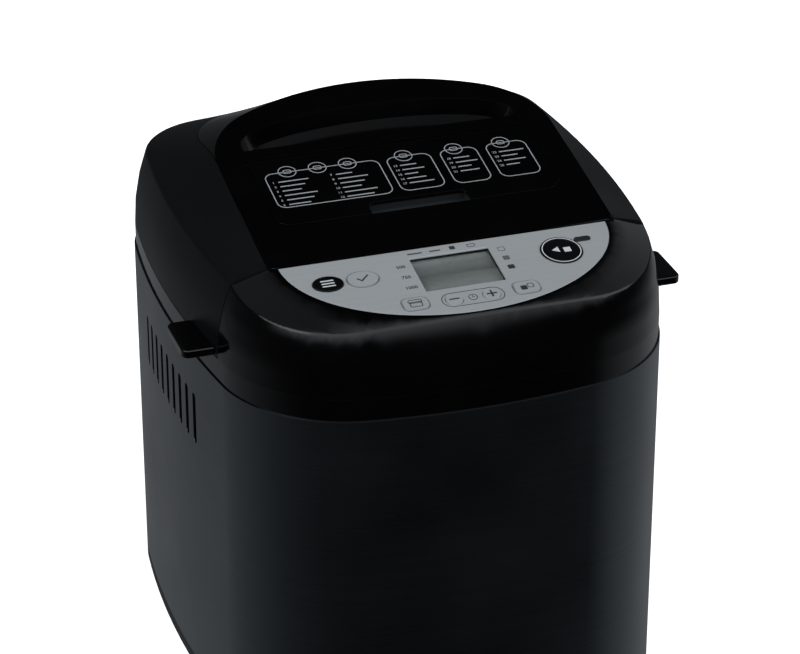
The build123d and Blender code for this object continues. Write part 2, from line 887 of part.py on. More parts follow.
# Baking chamber hung from the deck, with the heater, its supports and the sensors
chamber_wall_x = chamber_x_size + 2 * chamber_sheet
chamber_wall_y = chamber_y_size + 2 * chamber_sheet
flange_x = chamber_wall_x + 2 * chamber_flange
flange_y = chamber_wall_y + 2 * chamber_flange
with BuildPart() as baking_chamber:
    with BuildSketch(Plane.XY.offset(chamber_floor)):
        with Locations((0, chamber_y)):
            RectangleRounded(chamber_wall_x, chamber_wall_y, chamber_corner + chamber_sheet)
    extrude(amount=chamber_top - chamber_floor)
    with BuildSketch(Plane.XY.offset(chamber_top)):
        with Locations((0, chamber_y)):
            RectangleRounded(flange_x, flange_y, chamber_corner)
    extrude(amount=-chamber_sheet)
    with BuildSketch(Plane.XY.offset(chamber_floor + chamber_sheet)):
        with Locations((0, chamber_y)):
            RectangleRounded(chamber_x_size, chamber_y_size, chamber_corner)
    extrude(amount=chamber_top, mode=Mode.SUBTRACT)
    with BuildSketch(Plane.XY.offset(chamber_top)):
        with Locations(*chamber_screws_at):
            Circle(screw_radius)
    extrude(amount=-chamber_sheet, mode=Mode.SUBTRACT)
    with BuildSketch(Plane.XY.offset(chamber_floor)):
        with Locations((0, chamber_y)):
            Circle(spigot_radius)
    extrude(amount=chamber_sheet, mode=Mode.SUBTRACT)
    with BuildSketch(Plane.XZ.offset(-chamber_front)):
        with Locations((-terminal_x, heater_z), (terminal_x, heater_z)):
            Circle(heater_radius + insulator_wall)
        with Locations((sensor_x, sensor_z)):
            Circle(sensor_radius)
    extrude(amount=2 * chamber_sheet, both=True, mode=Mode.SUBTRACT)
baking_chamber.part.label = "baking_chamber"
export_step(baking_chamber.part, "parts/baking_chamber.step")

heater_front = chamber_y - heater_half_y
heater_back = chamber_y + heater_half_y
terminal_end = chamber_front - terminal_reach
with BuildPart() as heating_element:
    with BuildLine() as heater_path:
        FilletPolyline(
            (-terminal_x, terminal_end, heater_z),
            (-terminal_x, heater_front + heater_bend / 2, heater_z),
            (-heater_half_x, heater_front + heater_bend / 2, heater_z),
            (-heater_half_x, heater_back, heater_z),
            (heater_half_x, heater_back, heater_z),
            (heater_half_x, heater_front + heater_bend / 2, heater_z),
            (terminal_x, heater_front + heater_bend / 2, heater_z),
            (terminal_x, terminal_end, heater_z),
            radius=heater_bend,
        )
    with BuildSketch(Plane(origin=heater_path.line @ 0, z_dir=heater_path.line % 0)):
        Circle(heater_radius)
    sweep()
heating_element.part.label = "heating_element"
export_step(heating_element.part, "parts/heating_element.step")

with BuildPart() as element_insulators:
    with BuildSketch(Plane.XZ.offset(-chamber_front)):
        with Locations((-terminal_x, heater_z), (terminal_x, heater_z)):
            Circle(heater_radius + insulator_wall)
            Circle(heater_radius + pin_fit, mode=Mode.SUBTRACT)
    extrude(amount=heater_inset)
element_insulators.part.label = "element_insulators"
export_step(element_insulators.part, "parts/element_insulators.step")

floor_top = chamber_floor + chamber_sheet
support_width = 2 * heater_radius
with BuildPart() as element_supports:
    with BuildSketch(Plane.XY.offset(floor_top)):
        with Locations((-heater_half_x, chamber_y), (heater_half_x, chamber_y), (0, heater_back)):
            Rectangle(support_width, support_width)
    extrude(amount=heater_z - floor_top)
    with BuildSketch(Plane.XZ.offset(-chamber_y)):
        with Locations((-heater_half_x, heater_z), (heater_half_x, heater_z)):
            Circle(heater_radius)
    extrude(amount=support_width, both=True, mode=Mode.SUBTRACT)
    with BuildSketch(Plane.YZ):
        with Locations((heater_back, heater_z)):
            Circle(heater_radius)
    extrude(amount=support_width, both=True, mode=Mode.SUBTRACT)
element_supports.part.label = "element_supports"
export_step(element_supports.part, "parts/element_supports.step")

with BuildPart() as temperature_sensor:
    with BuildSketch(Plane.XZ.offset(-chamber_front - sensor_reach)):
        with Locations((sensor_x, sensor_z)):
            Circle(sensor_radius)
    extrude(amount=sensor_reach + chamber_sheet)
    with BuildSketch(Plane.XZ.offset(-chamber_front + chamber_sheet)):
        with Locations((sensor_x, sensor_z)):
            Circle(sensor_head)
    extrude(amount=sensor_radius)
temperature_sensor.part.label = "temperature_sensor"
export_step(temperature_sensor.part, "parts/temperature_sensor.step")

with BuildPart() as thermal_cutout:
    with BuildSketch(Plane.XZ.offset(-chamber_front + chamber_sheet)):
        with Locations((cutout_x, cutout_z)):
            RectangleRounded(cutout_width, cutout_height, sensor_radius)
    extrude(amount=cutout_depth)
    fillet(thermal_cutout.edges().group_by(Axis.Y)[0], sensor_radius / 2)
thermal_cutout.part.label = "thermal_cutout"
export_step(thermal_cutout.part, "parts/thermal_cutout.step")

# Drive under the chamber
with BuildPart() as chassis_plate:
    with BuildSketch(Plane.XY.offset(plate_bottom)):
        with Locations((0, plate_y)):
            RectangleRounded(plate_x_size, plate_rear - plate_front, plate_post_radius)
        with Locations(*plate_posts):
            Circle(screw_radius, mode=Mode.SUBTRACT)
        with Locations((0, chamber_y)):
            Circle(housing_tube_radius, mode=Mode.SUBTRACT)
        with Locations((motor_x, motor_y)):
            Circle(2 * motor_shaft_radius, mode=Mode.SUBTRACT)
            with PolarLocations(motor_radius - motor_end, 4, 45):
                Circle(screw_radius, mode=Mode.SUBTRACT)
        with Locations((power_x, power_y)):
            Rectangle(power_width + 2 * rail_width + rail_depth, 2 * rail_depth, mode=Mode.SUBTRACT)
    extrude(amount=plate_thickness)
chassis_plate.part.label = "chassis_plate"
export_step(chassis_plate.part, "parts/chassis_plate.step")

bush_radius = shaft_radius + bush_wall
with BuildPart() as bearing_housing:
    with BuildSketch(Plane.XY.offset(plate_top)):
        with Locations((0, chamber_y)):
            Circle(housing_flange_radius)
    extrude(amount=plate_thickness)
    with BuildSketch(Plane.XY.offset(plate_bottom)):
        with Locations((0, chamber_y)):
            Circle(housing_tube_radius)
    extrude(amount=chamber_floor - plate_bottom)
    with BuildSketch(Plane.XY.offset(chamber_floor)):
        with Locations((0, chamber_y)):
            Circle(spigot_radius)
    extrude(amount=spigot_top - chamber_floor)
    with BuildSketch(Plane.XY.offset(plate_bottom)):
        with Locations((0, chamber_y)):
            Circle(bush_radius)
    extrude(amount=chamber_floor, mode=Mode.SUBTRACT)
bearing_housing.part.label = "bearing_housing"
export_step(bearing_housing.part, "parts/bearing_housing.step")

with BuildPart() as drive_bushes:
    for level in (plate_bottom, spigot_top - bush_length):
        with BuildSketch(Plane.XY.offset(level)):
            with Locations((0, chamber_y)):
                Circle(bush_radius)
                Circle(shaft_radius + pin_fit, mode=Mode.SUBTRACT)
        extrude(amount=bush_length)
drive_bushes.part.label = "drive_bushes"
export_step(drive_bushes.part, "parts/drive_bushes.step")

with BuildPart() as drive_shaft:
    with BuildSketch(Plane.XY.offset(pulley_bottom - pulley_flange)):
        with Locations((0, chamber_y)):
            Circle(shaft_radius)
    extrude(amount=dog_top - pulley_bottom + pulley_flange)
drive_shaft.part.label = "drive_shaft"
export_step(drive_shaft.part, "parts/drive_shaft.step")


def pulley(radius, bore, x, y):
    """Flanged belt pulley on an upright shaft at x, y."""
    with BuildPart() as wheel:
        with BuildSketch(Plane.XY.offset(pulley_bottom)):
            with Locations((x, y)):
                Circle(radius)
        extrude(amount=pulley_height)
        for level in (pulley_bottom, pulley_bottom + pulley_height - pulley_flange):
            with BuildSketch(Plane.XY.offset(level)):
                with Locations((x, y)):
                    Circle(radius + belt_gap + belt_thickness)
            extrude(amount=pulley_flange)
        with BuildSketch(Plane.XY.offset(pulley_bottom)):
            with Locations((x, y)):
                Circle(bore)
        extrude(amount=pulley_height, mode=Mode.SUBTRACT)
    return wheel.part


with BuildPart() as large_pulley:
    add(pulley(large_pulley_radius, shaft_radius, 0, chamber_y))
    with BuildSketch(Plane.XY.offset(pulley_bottom)):
        with Locations((0, chamber_y)):
            with PolarLocations(large_pulley_radius / 2 + shaft_radius, 6):
                Circle(large_pulley_radius / 5)
    extrude(amount=pulley_height, mode=Mode.SUBTRACT)
large_pulley.part.label = "large_pulley"
export_step(large_pulley.part, "parts/large_pulley.step")

motor_pulley = pulley(small_pulley_radius, motor_shaft_radius, motor_x, motor_y)
motor_pulley.label = "motor_pulley"
export_step(motor_pulley, "parts/motor_pulley.step")

belt_z = pulley_bottom + (pulley_height - belt_width) / 2
with BuildPart() as drive_belt:
    for grow, mode in ((belt_gap + belt_thickness, Mode.ADD), (belt_gap, Mode.SUBTRACT)):
        with BuildSketch(Plane.XY.offset(belt_z)):
            with Locations((0, chamber_y)):
                Circle(large_pulley_radius + grow)
            with Locations((motor_x, motor_y)):
                Circle(small_pulley_radius + grow)
            make_hull()
        extrude(amount=belt_width, mode=mode)
drive_belt.part.label = "drive_belt"
export_step(drive_belt.part, "parts/drive_belt.step")

prong_x = prong_inner + prong_width / 2
prong_y = wing_width / 2 + prong_clearance + prong_width / 2
with BuildPart() as drive_coupling:
    with BuildSketch(Plane.XY.offset(dog_bottom)):
        with Locations((0, chamber_y)):
            Circle(dog_radius)
            Circle(shaft_radius, mode=Mode.SUBTRACT)
    extrude(amount=dog_height)
    with BuildSketch(Plane.XY.offset(dog_top)):
        with Locations((prong_x, chamber_y + prong_y), (-prong_x, chamber_y - prong_y)):
            Rectangle(prong_width, prong_width)
    extrude(amount=prong_height)
drive_coupling.part.label = "drive_coupling"
export_step(drive_coupling.part, "parts/drive_coupling.step")

motor_top = plate_top + motor_height
with BuildPart() as motor_body:
    with BuildSketch(Plane.XY.offset(plate_top)):
        with Locations((motor_x, motor_y)):
            Circle(motor_radius)
            Circle(motor_shaft_radius + pin_fit, mode=Mode.SUBTRACT)
    extrude(amount=motor_height)
    with BuildSketch(Plane.XY.offset(plate_top + motor_end)):
        with Locations((motor_x, motor_y)):
            Circle(motor_bore)
    extrude(amount=motor_height - 2 * motor_end, mode=Mode.SUBTRACT)
    with BuildSketch(Plane.XY.offset(plate_top)):
        with Locations((motor_x, motor_y)):
            with PolarLocations(motor_radius - motor_end, 4, 45):
                Circle(screw_radius)
    extrude(amount=screw_length - plate_thickness, mode=Mode.SUBTRACT)
motor_body.part.label = "motor_body"
export_step(motor_body.part, "parts/motor_body.step")

with BuildPart() as motor_rotor:
    with BuildSketch(Plane.XY.offset(plate_top + motor_end + rotor_gap)):
        with Locations((motor_x, motor_y)):
            Circle(motor_bore - rotor_gap)
    extrude(amount=motor_height - 2 * motor_end - 2 * rotor_gap)
    with BuildSketch(Plane.XY.offset(pulley_bottom - pulley_flange)):
        with Locations((motor_x, motor_y)):
            Circle(motor_shaft_radius)
    extrude(amount=motor_top + fan_height + 2 * rotor_gap - pulley_bottom + pulley_flange)
motor_rotor.part.label = "motor_rotor"
export_step(motor_rotor.part, "parts/motor_rotor.step")

with BuildPart() as cooling_fan:
    with BuildSketch(Plane.XY.offset(motor_top + 2 * rotor_gap)):
        with Locations((motor_x, motor_y)):
            Circle(fan_radius)
            Circle(motor_shaft_radius, mode=Mode.SUBTRACT)
    extrude(amount=fan_disc)
    with BuildSketch(Plane.XY.offset(motor_top + 2 * rotor_gap)):
        with Locations((motor_x, motor_y)):
            with PolarLocations(fan_radius - blade_length / 2, fan_blades):
                Rectangle(blade_length, blade_thickness)
    extrude(amount=fan_height)
cooling_fan.part.label = "cooling_fan"
export_step(cooling_fan.part, "parts/cooling_fan.step")

with BuildPart() as power_board:
    with BuildSketch(Plane.XZ.offset(-power_y - board_thickness / 2)):
        with Locations((power_x, power_bottom + power_height / 2)):
            Rectangle(power_width, power_height)
    extrude(amount=board_thickness)
power_board.part.label = "power_board"
export_step(power_board.part, "parts/power_board.step")

power_face = power_y - board_thickness / 2
with BuildPart() as power_components:
    with BuildSketch(Plane.XZ.offset(-power_face)):
        with Locations((power_x - rail_depth, transformer_z)):
            RectangleRounded(transformer_width, transformer_height, tray_wall)
    extrude(amount=tall_part_depth)
    with BuildSketch(Plane.XZ.offset(-power_face)):
        with Locations((power_x + upper_part_shift, upper_part_z)):
            Rectangle(relay_width, relay_height)
    extrude(amount=relay_depth)
    with BuildSketch(Plane.XZ.offset(-power_face)):
        with Locations((power_x - upper_part_shift, upper_part_z)):
            Circle(capacitor_radius)
    extrude(amount=tall_part_depth)
power_components.part.label = "power_components"
export_step(power_components.part, "parts/power_components.step")

# Pan with its foot, ears and bush, the seat it stands in, and the bail handle
with BuildPart() as pan_seat:
    with BuildSketch(Plane.XY.offset(floor_top)):
        with Locations((0, chamber_y)):
            Circle(pan_foot_radius + seat_fit + seat_wall)
            Circle(pan_foot_radius + seat_fit, mode=Mode.SUBTRACT)
    extrude(amount=seat_height)
    fillet(pan_seat.edges().group_by(Axis.Z)[-1], seat_wall / 4)
pan_seat.part.label = "pan_seat"
export_step(pan_seat.part, "parts/pan_seat.step")

pan_ears_at = [(-ear_x, chamber_y), (ear_x, chamber_y)]
with BuildPart() as bread_pan:
    for grow, mode in ((pan_wall, Mode.ADD), (0.0, Mode.SUBTRACT)):
        for level, draft in ((pan_bottom - grow, pan_draft), (pan_top, 0.0)):
            with BuildSketch(Plane.XY.offset(level)):
                with Locations((0, chamber_y)):
                    spread = 2 * (grow - draft)
                    RectangleRounded(pan_x_size + spread, pan_y_size + spread, pan_corner + grow)
        loft(ruled=True, mode=mode)
    with BuildSketch(Plane.XY.offset(pan_top)):
        with Locations((0, chamber_y)):
            RectangleRounded(pan_x_size + 2 * pan_rim, pan_y_size + 2 * pan_rim, pan_corner + pan_rim)
            RectangleRounded(pan_x_size, pan_y_size, pan_corner, mode=Mode.SUBTRACT)
    extrude(amount=pan_wall)
    with BuildSketch(Plane.XY.offset(pan_foot_bottom)):
        with Locations((0, chamber_y)):
            Circle(pan_foot_radius)
            Circle(pan_foot_radius - pan_foot_wall, mode=Mode.SUBTRACT)
    extrude(amount=pan_bottom - pan_wall / 2 - pan_foot_bottom)
    with BuildSketch(Plane.XY.offset(pan_bottom - pan_wall)):
        with Locations((0, chamber_y)):
            Circle(pan_bush_radius)
    extrude(amount=pan_wall, mode=Mode.SUBTRACT)
    for x, y in pan_ears_at:
        with BuildSketch(Plane.YZ.offset(x)):
            with Locations((y, (pan_top + ear_top) / 2)):
                RectangleRounded(2 * ear_half, ear_top - pan_top + pan_wall, pan_wall)
            with Locations((y, handle_z)):
                Circle(handle_wire + pin_fit, mode=Mode.SUBTRACT)
        extrude(amount=ear_thickness / 2, both=True)
bread_pan.part.label = "bread_pan"
export_step(bread_pan.part, "parts/bread_pan.step")

handle_end = ear_x - 2 * ear_thickness
handle_y = chamber_y + handle_reach
with BuildPart() as pan_handle:
    with BuildLine() as handle_path:
        FilletPolyline(
            (-handle_end, chamber_y, handle_z),
            (-handle_half, chamber_y, handle_z),
            (-handle_half, handle_y, handle_z),
            (handle_half, handle_y, handle_z),
            (handle_half, chamber_y, handle_z),
            (handle_end, chamber_y, handle_z),
            radius=[handle_turn, handle_bend, handle_bend, handle_turn],
        )
    with BuildSketch(Plane(origin=handle_path.line @ 0, z_dir=handle_path.line % 0)):
        Circle(handle_wire)
    sweep()
pan_handle.part.label = "pan_handle"
export_step(pan_handle.part, "parts/pan_handle.step")

with BuildPart() as pan_bush:
    with BuildSketch(Plane.XY.offset(pan_bush_bottom)):
        with Locations((0, chamber_y)):
            Circle(pan_bush_radius)
            Circle(shaft_radius + pin_fit, mode=Mode.SUBTRACT)
    extrude(amount=pan_bush_top - pan_bush_bottom)
    fillet(pan_bush.edges().group_by(Axis.Z)[-1].sort_by(SortBy.LENGTH)[-1], bush_wall)
pan_bush.part.label = "pan_bush"
export_step(pan_bush.part, "parts/pan_bush.step")

with BuildPart() as pan_shaft:
    with BuildSketch(Plane.XY.offset(pan_shaft_bottom)):
        with Locations((0, chamber_y)):
            Circle(shaft_radius)
    extrude(amount=pan_shaft_top - pan_shaft_bottom)
    with BuildSketch(Plane.XY.offset(pan_bush_top)):
        with Locations((shaft_flat + shaft_radius, chamber_y)):
            Rectangle(2 * shaft_radius, 2 * shaft_radius)
    extrude(amount=pan_shaft_top - pan_bush_top, mode=Mode.SUBTRACT)
pan_shaft.part.label = "pan_shaft"
export_step(pan_shaft.part, "parts/pan_shaft.step")

with BuildPart() as pan_coupling:
    with BuildSketch(Plane.XY.offset(pan_shaft_bottom)):
        with Locations((0, chamber_y)):
            SlotOverall(wing_length, wing_width)
            Circle(shaft_radius + bush_wall)
            Circle(shaft_radius, mode=Mode.SUBTRACT)
    extrude(amount=wing_height)
pan_coupling.part.label = "pan_coupling"
export_step(pan_coupling.part, "parts/pan_coupling.step")

hub_bottom = pan_bush_top + thrust_gap
with BuildPart() as kneading_paddle:
    with BuildSketch(Plane.XY.offset(hub_bottom)):
        with Locations((0, chamber_y)):
            Circle(paddle_hub_radius)
    extrude(amount=pan_shaft_top - hub_bottom + bush_wall)
    with BuildSketch(Plane.XZ.offset(-chamber_y)):
        with BuildLine():
            Line((0, hub_bottom), (paddle_reach, hub_bottom))
            ThreePointArc(
                (paddle_reach, hub_bottom),
                (paddle_bulge_x, hub_bottom + paddle_bulge_height),
                (paddle_hub_radius, hub_bottom + paddle_height),
            )
            Line((paddle_hub_radius, hub_bottom + paddle_height), (0, pan_shaft_top))
            Line((0, pan_shaft_top), (0, hub_bottom))
        make_face()
    extrude(amount=paddle_thickness / 2, both=True)
    with BuildSketch(Plane.XY.offset(hub_bottom)):
        with Locations((0, chamber_y)):
            Circle(shaft_radius)
        with Locations((shaft_flat + shaft_radius, chamber_y)):
            Rectangle(2 * shaft_radius, 2 * shaft_radius, mode=Mode.SUBTRACT)
    extrude(amount=pan_shaft_top - hub_bottom, mode=Mode.SUBTRACT)
kneading_paddle.part.label = "kneading_paddle"
export_step(kneading_paddle.part, "parts/kneading_paddle.step")

# Screws: those under the base and the drive, and those at the deck and the control board
base_screws_at = [Location((x, y, casing_tab_z - screw_length / 2), (180, 0, 0)) for x, y in casing_posts]
base_screws_at += [Location((x, y, plate_top)) for x, y in plate_posts]
with BuildPart() as base_screws:
    with Locations(*base_screws_at):
        add(screw)
    with Locations(Location((motor_x, motor_y, plate_bottom), (180, 0, 0))):
        with PolarLocations(motor_radius - motor_end, 4, 45):
            add(screw)
base_screws.part.label = "base_screws"
export_step(base_screws.part, "parts/base_screws.step")

board_underside = -board_drop - board_thickness
deck_screws_at = [Location((x, y, collar_top)) for x, y in chamber_screws_at]
deck_screws_at += [Location((x, y, deck_bottom), (180, 0, 0)) for x, y in housing_screws_at]
board_screw_turns = [Location((x, v, board_underside), (180, 0, 0)) for x, v in board_screws_at]
deck_screws_at += [top_plane.location * turn for turn in board_screw_turns]
with BuildPart() as deck_screws:
    with Locations(*deck_screws_at):
        add(screw)
deck_screws.part.label = "deck_screws"
export_step(deck_screws.part, "parts/deck_screws.step")

# Lid shell: leaning walls, a front wall at the joint, a seat for the gloss panel and hinge knuckles
lid_behind = behind_split(split_gap / 2)
lid_inside = behind_split(split_gap / 2 + moulding_wall)
shell_hollow = lid_form(moulding_wall) & lid_inside
seat_cut = gloss_prism() - lid_form(gloss_seat)
seat_ring = gloss_prism(-gloss_ledge) - gloss_prism(gloss_ledge)
seat_ledge = (lid_form(gloss_seat) - lid_form(gloss_seat + moulding_wall)) & seat_ring & lid_behind
seat_window = gloss_prism(gloss_ledge) & lid_inside
lid_bosses_at = [(side * lid_boss_x, y) for side in (-1, 1) for y in lid_boss_rows]
boss_limit = lid_form(moulding_wall / 2)
knuckle_shift = (ear_width + knuckle_width) / 2 + knuckle_gap
with BuildPart() as lid_bosses:
    with BuildSketch(Plane.XY.offset(liner_z + liner_sheet)):
        with Locations(*lid_bosses_at):
            Circle(lid_boss_radius)
    extrude(amount=crease_z - liner_z)
    for side in (-1, 1):
        for hand in (-1, 1):
            with BuildSketch(Plane.YZ.offset(side * hinge_x + hand * knuckle_shift)):
                with Locations((hinge_y, hinge_z)):
                    Circle(hinge_radius)
            extrude(amount=knuckle_width / 2, both=True)
    add(boss_limit, mode=Mode.INTERSECT)
with BuildPart() as lid_shell:
    add(lid_form())
    add(lid_behind, mode=Mode.INTERSECT)
    add(shell_hollow, mode=Mode.SUBTRACT)
    add(seat_cut, mode=Mode.SUBTRACT)
    add(seat_ledge)
    add(seat_window, mode=Mode.SUBTRACT)
    with BuildSketch(Plane.XY.offset(lid_bottom)):
        with Locations((0, hinge_y + rear_corner / 2 - hinge_pin_radius)):
            Rectangle(2 * half_width, rear_corner)
    extrude(amount=rear_lift - lid_gap, mode=Mode.SUBTRACT)
    add(lid_bosses.part)
    with BuildSketch(Plane.XY.offset(lid_bottom)):
        with Locations((-hinge_x, hinge_y + hinge_radius), (hinge_x, hinge_y + hinge_radius)):
            Rectangle(ear_width + 2 * knuckle_gap, 4 * hinge_radius)
    extrude(amount=hinge_z + hinge_radius + 2 * knuckle_gap - lid_bottom, mode=Mode.SUBTRACT)
    with BuildSketch(Plane.YZ):
        with Locations((hinge_y, hinge_z)):
            Circle(hinge_pin_radius + pin_fit)
    extrude(amount=half_width / 2 + ear_width + knuckle_width, both=True, mode=Mode.SUBTRACT)
    with BuildSketch(Plane.XY.offset(liner_z + liner_sheet)):
        with Locations(*lid_bosses_at):
            Circle(screw_radius)
    extrude(amount=screw_length, mode=Mode.SUBTRACT)
lid_shell.part.label = "lid_shell"
export_step(lid_shell.part, "parts/lid_shell.step")


# Gloss panel: the lid's top skin with the flap's opening, the finger well and the scoop
def flap_outline(grow=0.0):
    """Draws the flap's outline, grown by grow, in the open sketch: round front corners, straight back."""
    middle = (flap_front + flap_rear) / 2
    depth = flap_rear - flap_front + 2 * grow
    with Locations((0, middle)):
        RectangleRounded(2 * (flap_half + grow), depth, flap_corner + grow)
    with Locations((0, middle + depth / 4)):
        Rectangle(2 * (flap_half + grow), depth / 2)


def scoop_form(grow, top, bottom):
    """Solid of the scoop grown by grow, between two levels on the sloping plane, narrowing downwards."""
    with BuildPart() as form:
        for level, shrink in ((top, -grow), (bottom, scoop_draft - grow)):
            with BuildSketch(top_plane.offset(level)):
                with BuildLine():
                    EllipticalCenterArc(
                        (0, scoop_side), scoop_half - shrink, scoop_rear - scoop_side - shrink, arc_size=180
                    )
                    Polyline(
                        (shrink - scoop_half, scoop_side),
                        (shrink - scoop_half, scoop_front - grow),
                        (scoop_half - shrink, scoop_front - grow),
                        (scoop_half - shrink, scoop_side),
                    )
                make_face()
        loft(ruled=True)
    return form.part


panel_skin = (lid_form() - lid_form(gloss_sheet)) & gloss_prism(gloss_gap) & lid_behind
well_half = notch_half + well_wall
well_back = flap_front + notch_depth + well_wall
lug_middle = flap_half + flap_gap + flap_pin_length / 2
with BuildPart() as lid_top_panel:
    add(panel_skin)
    with BuildSketch(top_plane):
        flap_outline(flap_gap)
    extrude(amount=gloss_sheet, both=True, mode=Mode.SUBTRACT)
    with BuildSketch(top_plane.offset(-gloss_sheet / 2)):
        with Locations((-lug_middle, flap_hinge_v), (lug_middle, flap_hinge_v)):
            Rectangle(flap_pin_length, 4 * flap_barrel)
    extrude(amount=-2 * flap_barrel)
    with BuildSketch(top_plane.offset(-gloss_sheet / 2)):
        with Locations((0, (flap_front - flap_gap - well_wall + well_back + well_wall) / 2)):
            Rectangle(2 * well_half, well_back - flap_front + flap_gap + 2 * well_wall)
    extrude(amount=-well_depth - well_wall + gloss_sheet / 2)
    with BuildSketch(top_plane.offset(-well_depth)):
        with Locations((0, (flap_front - flap_gap + well_back) / 2)):
            Rectangle(2 * notch_half, well_back - flap_front + flap_gap)
    extrude(amount=2 * well_depth, mode=Mode.SUBTRACT)
    with BuildSketch(top_plane.offset(-flap_sheet - flap_gap)):
        flap_outline(flap_gap)
    extrude(amount=flap_sheet + flap_gap, mode=Mode.SUBTRACT)
    add(scoop_form(well_wall, -gloss_sheet / 2, -scoop_depth - well_wall))
    add(scoop_form(0, gloss_sheet, -scoop_depth), mode=Mode.SUBTRACT)
    with BuildSketch(top_plane.offset(-scoop_depth)):
        with Locations((0, scoop_front + 2 * steam_width)):
            with GridLocations(steam_pitch, 1, steam_slots, 1):
                SlotOverall(steam_length, steam_width)
    extrude(amount=-well_wall, mode=Mode.SUBTRACT)
    with BuildSketch(Plane.YZ):
        with Locations((flap_axis.Y, flap_axis.Z)):
            Circle(flap_pin_radius + pin_fit)
    extrude(amount=flap_half + flap_gap + flap_pin_length, both=True, mode=Mode.SUBTRACT)
lid_top_panel.part.label = "lid_top_panel"
export_step(lid_top_panel.part, "parts/lid_top_panel.step")

with BuildPart() as dispenser_flap:
    with BuildSketch(top_plane):
        flap_outline()
        with Locations((0, flap_rear)):
            Rectangle(2 * half_width, 2 * flap_barrel, mode=Mode.SUBTRACT)
        with Locations((0, flap_front)):
            RectangleRounded(2 * notch_half, 2 * notch_depth, notch_corner, mode=Mode.SUBTRACT)
    extrude(amount=-flap_sheet)
    with BuildSketch(Plane.YZ):
        with Locations((flap_axis.Y, flap_axis.Z)):
            Circle(flap_barrel)
    extrude(amount=flap_half, both=True)
    with BuildSketch(Plane.YZ):
        with Locations((flap_axis.Y, flap_axis.Z)):
            Circle(flap_pin_radius)
    extrude(amount=flap_half + flap_pin_length, both=True)
dispenser_flap.part.label = "dispenser_flap"
export_step(dispenser_flap.part, "parts/dispenser_flap.step")

# Dispenser box hung under the flap, with a trapdoor in its floor
box_top = -gloss_sheet
box_length = box_rear_v - box_front_v
box_middle_v = (box_front_v + box_rear_v) / 2
flange_middle_v = (box_flange_front + box_flange_rear) / 2
outlet_length = outlet_rear - outlet_front
outlet_y = (outlet_front + outlet_rear) / 2
door_axis_y = outlet_front - box_wall - door_barrel
door_axis_z = box_bottom - door_gap - door_barrel
door_end = outlet_half + box_wall
lug_at = door_end + lug_gap + lug_width / 2
lug_inner = outlet_half - 2 * box_corner
lug_outer = lug_at + lug_width / 2
with BuildPart() as dispenser_box:
    for grow, mode in ((box_wall, Mode.ADD), (0.0, Mode.SUBTRACT)):
        with BuildSketch(top_plane.offset(box_top)):
            with Locations((0, box_middle_v)):
                RectangleRounded(2 * (box_half + grow), box_length + 2 * grow, box_corner + grow)
        with BuildSketch(Plane.XY.offset(box_bottom)):
            with Locations((0, outlet_y)):
                RectangleRounded(2 * (outlet_half + grow), outlet_length + 2 * grow, box_corner + grow)
        loft(ruled=True, mode=mode)
    with BuildSketch(top_plane.offset(box_top)):
        with Locations((0, flange_middle_v)):
            Rectangle(2 * box_flange_half, box_flange_rear - box_flange_front)
        with Locations((0, box_middle_v)):
            RectangleRounded(2 * box_half, box_length, box_corner, mode=Mode.SUBTRACT)
        with Locations((-lug_middle, flap_hinge_v), (lug_middle, flap_hinge_v)):
            Rectangle(flap_pin_length + 2 * lug_gap, 4 * flap_barrel + 2 * lug_gap, mode=Mode.SUBTRACT)
    extrude(amount=-box_flange_sheet)
    with BuildSketch(top_plane.offset(box_top)):
        flap_outline(flap_gap)
    extrude(amount=-box_relief - flap_barrel, mode=Mode.SUBTRACT)
    with BuildSketch(Plane.XY.offset(box_bottom)):
        with Locations((-lug_at, door_axis_y), (lug_at, door_axis_y)):
            Rectangle(lug_width, 3 * door_barrel)
    extrude(amount=-door_gap - 2 * door_barrel)
    for side in (-1, 1):
        with BuildSketch(Plane.XY.offset(box_bottom)):
            with Locations((side * (lug_inner + lug_outer) / 2, door_axis_y)):
                Rectangle(lug_outer - lug_inner, 3 * door_barrel)
        extrude(amount=box_wall)
    with BuildSketch(Plane.YZ):
        with Locations((door_axis_y, door_axis_z)):
            Circle(door_pin_radius + pin_fit)
    extrude(amount=lug_at + lug_width, both=True, mode=Mode.SUBTRACT)
dispenser_box.part.label = "dispenser_box"
export_step(dispenser_box.part, "parts/dispenser_box.step")

door_top = box_bottom - door_gap
with BuildPart() as dispenser_trapdoor:
    with BuildSketch(Plane.XY.offset(door_top)):
        with Locations((0, (door_axis_y + outlet_rear + door_overlap) / 2)):
            Rectangle(2 * (outlet_half + door_overlap), outlet_rear + door_overlap - door_axis_y)
    extrude(amount=-door_sheet)
    with BuildSketch(Plane.YZ):
        with Locations((door_axis_y, door_axis_z)):
            Circle(door_barrel)
    extrude(amount=door_end, both=True)
    with BuildSketch(Plane.YZ):
        with Locations((door_axis_y, door_axis_z)):
            Circle(door_pin_radius)
    extrude(amount=door_end + lug_gap + door_pin_length, both=True)
dispenser_trapdoor.part.label = "dispenser_trapdoor"
export_step(dispenser_trapdoor.part, "parts/dispenser_trapdoor.step")

